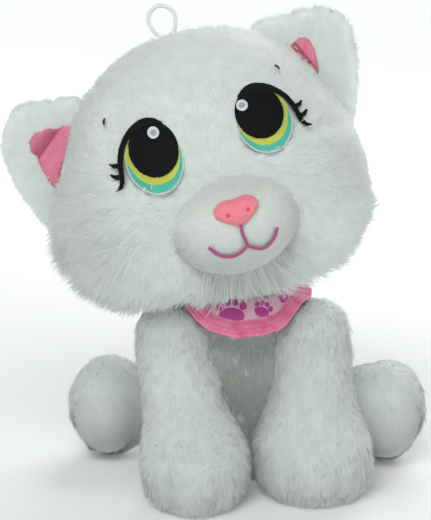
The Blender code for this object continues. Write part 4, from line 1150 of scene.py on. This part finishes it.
NOSTRIL_PLACE, NOSTRIL_SIZE = (6.0, -0.6), 1.5  # outward and up from the middle of the nose


def make_nose():
    """A plump flocked nose, notched above and narrow below, with two pressed nostrils."""
    ways = ball_ways(96, 150)
    x, y, z = ways[..., 0], ways[..., 1], ways[..., 2]
    wide = 1.08 - 0.42 * smoothstep(0.15, -0.95, z) + 0.10 * smoothstep(-0.2, 0.5, z)
    shape = xyz(x * wide, y, z) * NOSE_RADII
    shape[..., 2] += 1.3 * np.abs(x) ** 1.5 * smoothstep(0, 0.8, z)
    shape[..., 2] -= 1.3 * np.exp(-(x / 0.28) ** 2) * smoothstep(0.2, 0.9, z)
    from_nostril = np.hypot(np.abs(shape[..., 0]) - NOSTRIL_PLACE[0], shape[..., 2] - NOSTRIL_PLACE[1])
    pits = np.exp(-(from_nostril / NOSTRIL_SIZE) ** 2) * (y < 0)
    shape[..., 1] += 1.5 * pits
    shape = shape + NOSE_CENTRE
    cloth = Look("nose_flock_cloth", 0.8, Sheen_Weight=0.6, Sheen_Roughness=0.4,
                 Sheen_Tint=(1.0, 0.75, 0.78, 1))
    cloth.colour(cloth.mottle(1.2, 3, (0.78, 0.19, 0.24), (0.88, 0.26, 0.32)))
    cloth.grain(0.3, 3, 0.25)
    pressed = Look("nostril_flock", 0.85, Sheen_Weight=0.3)
    pressed.colour(pressed.mottle(0.8, 3, (0.62, 0.06, 0.07), (0.72, 0.10, 0.10)))
    pressed.grain(0.3, 3, 0.25)
    quads = grid_faces(*shape.shape[:2])
    deep = pits.reshape(-1)[quads].mean(1) > 0.45
    nose = piece("nose_flocked", moved(shape, FACE).reshape(-1, 3), quads, "head", cloth.material,
                 pressed.material, slot="nose_flock", indices=deep.astype(int))
    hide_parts("nose")
    roots, normals = Skin(shape).scatter(5500, np.random.default_rng(SEED + 71))
    x, y, z = (roots - NOSE_CENTRE).T
    spots = (np.hypot(np.abs(x) - NOSTRIL_PLACE[0], z - NOSTRIL_PLACE[1]) < NOSTRIL_SIZE + 0.2) & (y < 0)
    keep = (roots[:, 1] < -68) & ~spots
    roots, normals = roots[keep], normals[keep]
    fuzz = Look("nose_flock", 0.7, Sheen_Weight=0.4, Sheen_Tint=(1.0, 0.8, 0.8, 1))
    fuzz.colour(fuzz.mottle(1.5, 3, (0.80, 0.21, 0.26), (0.94, 0.33, 0.38)))
    flow = unit(roots - np.array((0, -85.0, -20.0)))
    grow("nose_flock_fibres", "head", fuzz.material, roots, normals, flow, 0.9, spread=0.4, width=0.2,
         lift=0.7, gather=0.0, curl=0.3, seed=72, slot="nose_flock", **NAP)


# ---------------------------------------------------------------- cloth pieces


def velour_look(name, side, low, high, size, sheen):
    """Pink velour with painted shade along the crease across the ear's lining."""
    look = Look(name, 0.8, Sheen_Roughness=0.45, Sheen_Tint=(1.0, 0.8, 0.88, 1), Sheen_Weight=sheen)
    base = look.mottle(size, 4, low, high)
    (out, up), (across_out, across_up), _ = CREASE[side]
    shift = EAR_SHIFT[side]
    across = turned([(side * across_out, 0, across_up)], FACE)[0]
    place = float(moved([(side * (out + shift[0]), 0, up + shift[1])], FACE)[0] @ across) * MM
    past = look.node("VectorMath", operation="DOT_PRODUCT")
    look.links.new(look.place, past.inputs[0])
    past.inputs[1].default_value = tuple(across)
    share = look.map(past.outputs["Value"], place - 0.0015, place + 0.0085, 0.0, 1.0)
    # Painted shade: darkest just past the crease's line, and still shaded over the fold beyond it.
    shade = look.ramp(share, (0.0, (1, 1, 1)), (0.17, (0.60, 0.34, 0.42)), (0.55, (0.86, 0.74, 0.80)),
                      (1.0, (0.98, 0.92, 0.95)))
    look.colour(look.blend(1.0, base, shade, "MULTIPLY"))
    return look


def make_ear_lining(side, word):
    """A pink velour triangle let into the front of the ear, with one soft crease across it."""
    centre = loop_points(EAR_OUTLINE[side], 120).mean(0) + EAR_SHIFT[side]
    shares = np.linspace(0.02, 1.02, 30)
    flat = disc(loop_points(EAR_LINING[side], 96) + EAR_SHIFT[side], shares)
    out = flat - centre
    share = np.clip(np.linalg.norm(out, axis=2) / rim_distance(side, centre, out) / EAR_CLOTH, 0, 1)
    crease_at, crease_way, crease_depth = CREASE[side]
    past = (flat - EAR_SHIFT[side] - np.array(crease_at)) @ np.array(crease_way)
    crease = smoothstep(-1.4, 0.2, past) * smoothstep(8.0, 0.4, past) * smoothstep(0.95, 0.7, share)
    tucked = 2.2 * shares[:, None] ** 16
    depth = ear_depth(share, True) - 2.5 + crease_depth * crease + tucked
    grid = xyz(side * flat[..., 0], depth, flat[..., 1])
    grid = np.concatenate([grid, grid[-1:] + (0, 2.0, 0)])
    look = velour_look(f"ear_velour_{word}", side, (0.60, 0.165, 0.27), (0.76, 0.25, 0.37), 6, 0.5)
    material = look.grain(0.7, 4, 0.35)
    cloth = Skin(moved(grid, FACE), flip=side > 0)
    lining = cloth.make(f"ear_velour_{word}", "head", material, slot="velour")
    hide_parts(f"ear_lining_{word}")
    nap = velour_look(f"velour_nap_{word}", side, (0.66, 0.19, 0.31), (0.84, 0.32, 0.45), 5, 0.4)
    roots, normals = Skin(grid, flip=side > 0).scatter(2600, np.random.default_rng(SEED + 80 + side))
    flow = np.tile((side * 0.4, 0.0, -1.0), (len(roots), 1))
    grow(f"ear_velour_nap_{word}", "head", nap.material, roots, normals, flow, 1.0, spread=0.6, width=0.26,
         lift=0.55, gather=0.1, curl=0.25, seed=82 + side, slot="velour", **NAP)


BANDANA_INNER, BANDANA_TOP, BANDANA_GIRTH_RADIUS = 26.5, 118.4, 36.0
HEM_WIDTH = 9.5
# Each seam of the hem: how far it lies from the edge, its width, and its depth.
HEM_SEAMS = ((HEM_WIDTH - 1.6, 0.55, 1.0), (4.6, 0.45, 0.9), (2.2, 0.4, 0.6))


def bandana_rim(angle):
    """The hem's radius and height round the neck: low in front, between the legs."""
    front, back = np.maximum(0, -np.sin(angle)), np.maximum(0, np.sin(angle))
    return 43 + 1.5 * front ** 6, 115.8 - 15.5 * smoothstep(0.48, 1.0, front) - 5.0 * back ** 2


def bandana_run(angle):
    """How far it is from the neck to the hem's edge."""
    radius, height = bandana_rim(angle)
    return np.hypot(radius - BANDANA_INNER, BANDANA_TOP - height)


def on_bandana(angle, t, lift=0.0):
    """The cloth's upper face, from the neck (t = 0) to the hem's edge (t = 1), with its soft folds."""
    radius, height = bandana_rim(angle)
    r = BANDANA_INNER + (radius - BANDANA_INNER) * t + 0.4
    z = BANDANA_TOP + (height - BANDANA_TOP) * t ** 1.3
    waves = np.sin(9 * angle + 0.6) + 0.6 * np.sin(17 * angle + 2.0) + 0.4 * np.sin(31 * angle)
    z = z + 0.5 + 0.45 * t * waves
    slope = (BANDANA_TOP - height) / (radius - BANDANA_INNER) * 1.3 * t ** 0.3
    tilt = 1 / np.sqrt(1 + slope ** 2)
    r, z = r + lift * slope * tilt, z + lift * tilt
    return xyz(r * np.cos(angle), r * np.sin(angle), z)


def cloth_look(name, low, high, weave=0.55, nap=0.35):
    """Brushed jersey: fine ribs, a soft nap and slow changes of tint."""
    look = Look(name, 0.85, Sheen_Weight=nap, Sheen_Roughness=0.4, Specular_IOR_Level=0.2)
    slow = look.mottle(7, 4, low, high)
    ribs = look.node("TexWave", Vector=look.place, Scale=1 / (weave * 6 * MM), Distortion=2.5, Detail=2.0)
    look.colour(look.blend(look.times(ribs.outputs["Fac"], 0.22), slow, tuple(c * 0.7 for c in low)))
    return look.bump(look.times(ribs.outputs["Fac"], 0.6, 0.2), 0.25)


def make_bandana():
    columns, rows = 240, 34
    angle = np.linspace(0, 2 * np.pi, columns, endpoint=False)[None]
    t = np.linspace(0, 1, rows)[:, None]
    run = bandana_run(angle)
    from_edge = run * (1 - t)
    hem = smoothstep(HEM_WIDTH + 0.5, HEM_WIDTH - 1.0, from_edge)
    stitch = sum(depth * np.exp(-((from_edge - place) / wide) ** 2) for place, wide, depth in HEM_SEAMS)
    near_seam = np.exp(-((from_edge - HEM_SEAMS[0][0]) / 2.4) ** 2)
    puckers = 0.22 * np.sin(110 * angle + 3 * np.sin(5 * angle)) * near_seam
    rounding = np.sqrt(np.clip(1 - np.clip(1 - from_edge / 1.1, 0, 1) ** 2, 0, 1))
    thick = 0.35 + (0.9 * hem - 0.55 * stitch * hem) * rounding + puckers * rounding
    top = on_bandana(angle, t)
    lifted = on_bandana(angle, t, 1.0) - top
    upper = top + lifted * thick[..., None]
    lower = (top - lifted * (0.3 + 0.25 * hem * rounding)[..., None])[::-1]
    grid = np.concatenate([upper, lower])
    # The last row of quads joins the lower face's neck edge to the upper face's.
    quads = grid_faces(2 * rows + 1, columns) % (2 * rows * columns)
    if grid_normals(grid)[3, :, 2].mean() <= 0:
        quads = quads[:, ::-1]
    pale = cloth_look("bandana_pale_pink", (0.86, 0.44, 0.57), (0.95, 0.60, 0.70))
    hot = cloth_look("bandana_hem_pink", (0.80, 0.14, 0.30), (0.96, 0.30, 0.46), 0.5, 0.5)
    in_hem = np.concatenate([hem, hem[::-1]]).reshape(-1)[quads].mean(1) > 0.5
    cloth = piece("bandana_cloth", grid.reshape(-1, 3), quads, "torso", pale, hot, slot="bandana_cloth",
                  indices=in_hem.astype(int))
    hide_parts("bandana")
    prints = make_paw_prints()
    stitches = make_hem_stitches()


# One paw print, as ovals of (across, up) and (half width, half height) round its middle.
PAW_PADS = (((0, -1.2), (3.9, 2.9)), ((-4.0, 2.3), (1.35, 1.8)), ((-1.5, 4.4), (1.3, 1.9)),
            ((1.5, 4.4), (1.3, 1.9)), ((4.0, 2.3), (1.35, 1.8)))
PRINT_LIFT = ((0.03, 0.62), (0.5, 0.62), (0.85, 0.60), (1.0, 0.52), (1.04, 0.2))  # (share of an oval, height)
# Where each print lies: degrees round the neck, its share of the way to the edge, its size and its turn.
PAW_PRINTS = ((-102, 0.44, 1.9, 0.15), (-70, 0.40, 1.15, -0.6), (-131, 0.42, 1.05, 0.9),
              (-36, 0.42, 0.95, 0.4), (-148, 0.4, 0.95, -0.6), (-4, 0.38, 0.95, 0.5),
              (28, 0.4, 0.95, -0.4), (60, 0.4, 0.95, 0.7),
              (92, 0.4, 0.95, 0.1), (124, 0.4, 0.95, -0.7), (156, 0.4, 0.95, 0.5), (-175, 0.4, 0.95, 0.8))


def make_paw_prints():
    """Glittery printed paw marks between the neck and the hem."""
    prints = Gathered()
    shares, lift = np.array(PRINT_LIFT).T
    for degrees, share, scale, spin in PAW_PRINTS:
        middle = math.radians(degrees)
        radius, _ = bandana_rim(middle)
        at = BANDANA_INNER + (radius - BANDANA_INNER) * share
        spun = np.array(((math.cos(spin), math.sin(spin)), (-math.sin(spin), math.cos(spin))))
        for place, radii in PAW_PADS:
            flat = disc(oval(place, radii, 28) * scale @ spun, shares)
            t = np.clip(share - flat[..., 1] / bandana_run(middle), 0.03, 0.9)
            grid = on_bandana(middle + flat[..., 0] / at, t, lift[:, None])
            prints.add(grid, grid_faces(*grid.shape[:2]))
    look = Look("glitter_print", 0.5, Specular_IOR_Level=0.6)
    look.colour(look.ramp(look.cells(0.5), (0.15, (0.70, 0.09, 0.40)), (0.5, (0.50, 0.045, 0.29))))
    return prints.make("bandana_paw_prints", "torso", look.grain(0.4, 3, 0.3), slot="bandana_cloth")


def make_hem_stitches(count=130):
    """The thread that holds the folded hem down."""
    stitches = Gathered()
    ahead = np.linspace(-0.016, 0.016, 5)[:, None]
    bow = np.sin(np.linspace(0.2, np.pi - 0.2, 5))[:, None] * np.array((0.0, 0.25, 0.0))
    for middle in np.arange(0, 2 * np.pi, 2 * np.pi / count):
        run = bandana_run(middle)
        t = 1 - (HEM_SEAMS[0][0] + np.linspace(0.22, -0.22, 3)) / run
        grid = on_bandana(middle + ahead, t[None], 0.72 + bow)
        stitches.add(grid, grid_faces(5, 3, wrap=False, flip=True))
    return stitches.make("bandana_hem_stitches", "torso", thread_look("hem_thread", (0.55, 0.06, 0.17)))


def under_bandana(points):
    """Which points the cloth covers."""
    radius, height = bandana_rim(np.arctan2(points[:, 1], points[:, 0]))
    return (np.hypot(points[:, 0], points[:, 1]) < radius - 3.0) & (points[:, 2] > height - 6)


NECK_RADIUS, NECK_BOTTOM, NECK_RISE = 21.2, 113.5, 18.5


def make_neck():
    """The knitted tube that joins the body to the head."""
    t = np.linspace(0, 1, 22)[:, None]
    angle = np.linspace(0, 2 * np.pi, 72, endpoint=False)[None]
    tucks = 0.5 * np.sin(16 * angle + 1.5 * np.sin(3 * angle)) * (0.4 + t)
    radius = NECK_RADIUS + 1.6 * np.sin(np.pi * t) + tucks
    grid = xyz(radius * np.cos(angle), radius * np.sin(angle), NECK_BOTTOM + NECK_RISE * t)
    neck = Skin(grid).make("neck_fabric", "torso", SHORT_GROUND, slot="short_pile")
    # It joins two bodies, so it rides on neither.
    neck.parent = None
    del neck["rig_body"]
    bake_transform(neck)
    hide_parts("neck_sleeve")


LOOP_FOOT, LOOP_HEIGHT, LOOP_RADIUS = 5.0, 18.0, 1.35


def make_hang_loop():
    """A tape loop sewn into the top of the head."""
    points = []
    for t in np.linspace(0, 1, 18):
        across = -(LOOP_FOOT + 6.5 * math.sin(math.pi * min(t, 1 - t) * 1.5)) * math.cos(math.pi * t)
        points.append((across, 4.0, HEAD_TOP + 2 + LOOP_HEIGHT * math.sin(math.pi * t)))
    fine = smooth_rows(moved(points, FACE), 90) * MM
    curve = bpy.data.curves.new("hang_loop_tape", "CURVE")
    curve.dimensions = "3D"
    curve.bevel_depth, curve.bevel_resolution = LOOP_RADIUS * MM, 4
    spline = curve.splines.new("POLY")
    spline.points.add(len(fine) - 1)
    for point, place in zip(spline.points, fine):
        point.co = (*place, 1)
    look = Look("nylon_tape", 0.45, Specular_IOR_Level=0.4, Transmission_Weight=0.1)
    look.colour(look.mottle(1.5, 3, (0.70, 0.73, 0.74), (0.88, 0.90, 0.91)))
    weave = look.node("TexWave", Vector=look.place, Scale=1 / (4 * MM), Distortion=1.0)
    curve.materials.append(look.bump(weave.outputs["Fac"], 0.2))
    loop = add_to_scene("hang_loop_tape", curve)
    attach(loop, "head")
    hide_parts("hang_loop")


# The foot pad's section, as (height, share of its width), from the middle of its underside over its edge.
SOLE_SECTION = ((0.5, 0.02), (0.25, 0.5), (0.1, 0.9), (0.25, 0.97), (0.7, 1.0), (1.3, 0.97))


def make_front_sole(side, word):
    """The smooth foot pad of a front leg."""
    shift_x, shift_y = PAW_SHIFT[word]
    x, y = side * (SHOULDER[0] + shift_x), SHOULDER[1] + shift_y
    half_width, half_depth = 27 * PAW_WIDTH[word] - 9, 29 - 8
    grid = ovals([(z, x, y, half_width * share, half_depth * share) for z, share in SOLE_SECTION], 64)
    upward = grid_normals(grid)[1, :, 2].mean() >= 0
    sole = Skin(grid, flip=upward).make(f"front_leg_{word}_sole", f"front_leg_{word}", SHORT_GROUND,
                                        slot="short_pile")
    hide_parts(f"front_sole_{word}")


# ---------------------------------------------------------------- the parts inside


def plastic(name, low, high, roughness):
    look = Look(name, roughness, Specular_IOR_Level=0.5)
    look.colour(look.mottle(9, 3, low, high))
    look.rough(look.times(look.noise(2, 3), 0.25, roughness - 0.12))
    return look.grain(0.25, 2, 0.03)


def metal(name, low, high, roughness):
    look = Look(name, roughness, Metallic=1.0)
    look.colour(look.mottle(5, 3, low, high))
    across, along = 1 / (0.6 * MM), 1 / (9 * MM)
    lines = look.noise(1000, 2, vector=look.stretched(across, across, along))
    look.rough(look.times(lines, 0.3, roughness - 0.1))
    return look.bump(lines, 0.02)


def solder_mask():
    look = Look("solder_mask", 0.35, Specular_IOR_Level=0.55)
    look.colour(look.ramp(look.cells(2.2), (0.25, (0.012, 0.10, 0.035)), (0.3, (0.008, 0.065, 0.022))))
    return look.grain(0.8, 2, 0.05)


def cell_wrap():
    look = Look("cell_wrap", 0.3, Specular_IOR_Level=0.5)
    look.colour(look.mottle(14, 2, (0.02, 0.09, 0.30), (0.03, 0.13, 0.40), 0.42, 0.58))
    return look.grain(3, 3, 0.04)


def cone_paper():
    look = Look("cone_paper", 0.9)
    look.colour(look.mottle(1.2, 5, (0.025, 0.024, 0.022), (0.06, 0.056, 0.05)))
    return look.grain(0.4, 4, 0.15)


def dress_inside(nodes):
    """Better materials on the parts that keep their modelled shape."""
    looks = (
        (plastic("abs_white", (0.66, 0.66, 0.64), (0.74, 0.74, 0.72), 0.42),
         "sound_box_body sound_box_lid battery_door head_yoke skull_plate gearbox_bracket"),
        (plastic("abs_black", (0.018, 0.018, 0.02), (0.03, 0.03, 0.033), 0.45),
         "power_switch power_switch_knob sound_chip paw_switch_housing paw_switch_button"),
        (plastic("acetal", (0.62, 0.60, 0.54), (0.72, 0.70, 0.64), 0.35), "reduction_gear"),
        (metal("plated_steel", (0.50, 0.50, 0.50), (0.62, 0.62, 0.61), 0.3),
         "lid_screw_1 lid_screw_2 bracket_screw yoke_screw battery_door_screw neck_axle reduction_axle "
         "motor_can battery_contact_left battery_contact_right speaker_frame speaker_magnet"),
        (metal("brass_pinion", (0.60, 0.44, 0.16), (0.70, 0.54, 0.22), 0.25), "motor_pinion"),
        (solder_mask(), "circuit_board"),
        (cell_wrap(), "battery_1 battery_2 battery_3"),
        (cone_paper(), "speaker_cone"))
    for material, names in looks:
        for name in names.split():
            mesh = nodes[name].data
            mesh.materials.clear()
            mesh.materials.append(material)


# ---------------------------------------------------------------- the whole


def main():
    make_camera()
    make_stage()
    make_hang_loop()
    make_head()
    make_muzzle()
    make_mouth()
    make_nose()
    make_torso()
    make_neck()
    make_bandana()
    make_tail()
    for side, word in SIDES:
        make_eye(side, word)
        make_ear(side, word)
        make_ear_lining(side, word)
        make_front_leg(side, word)
        make_front_sole(side, word)
        make_hind_leg(side, word)
    dress_inside(frame["nodes"])


main()
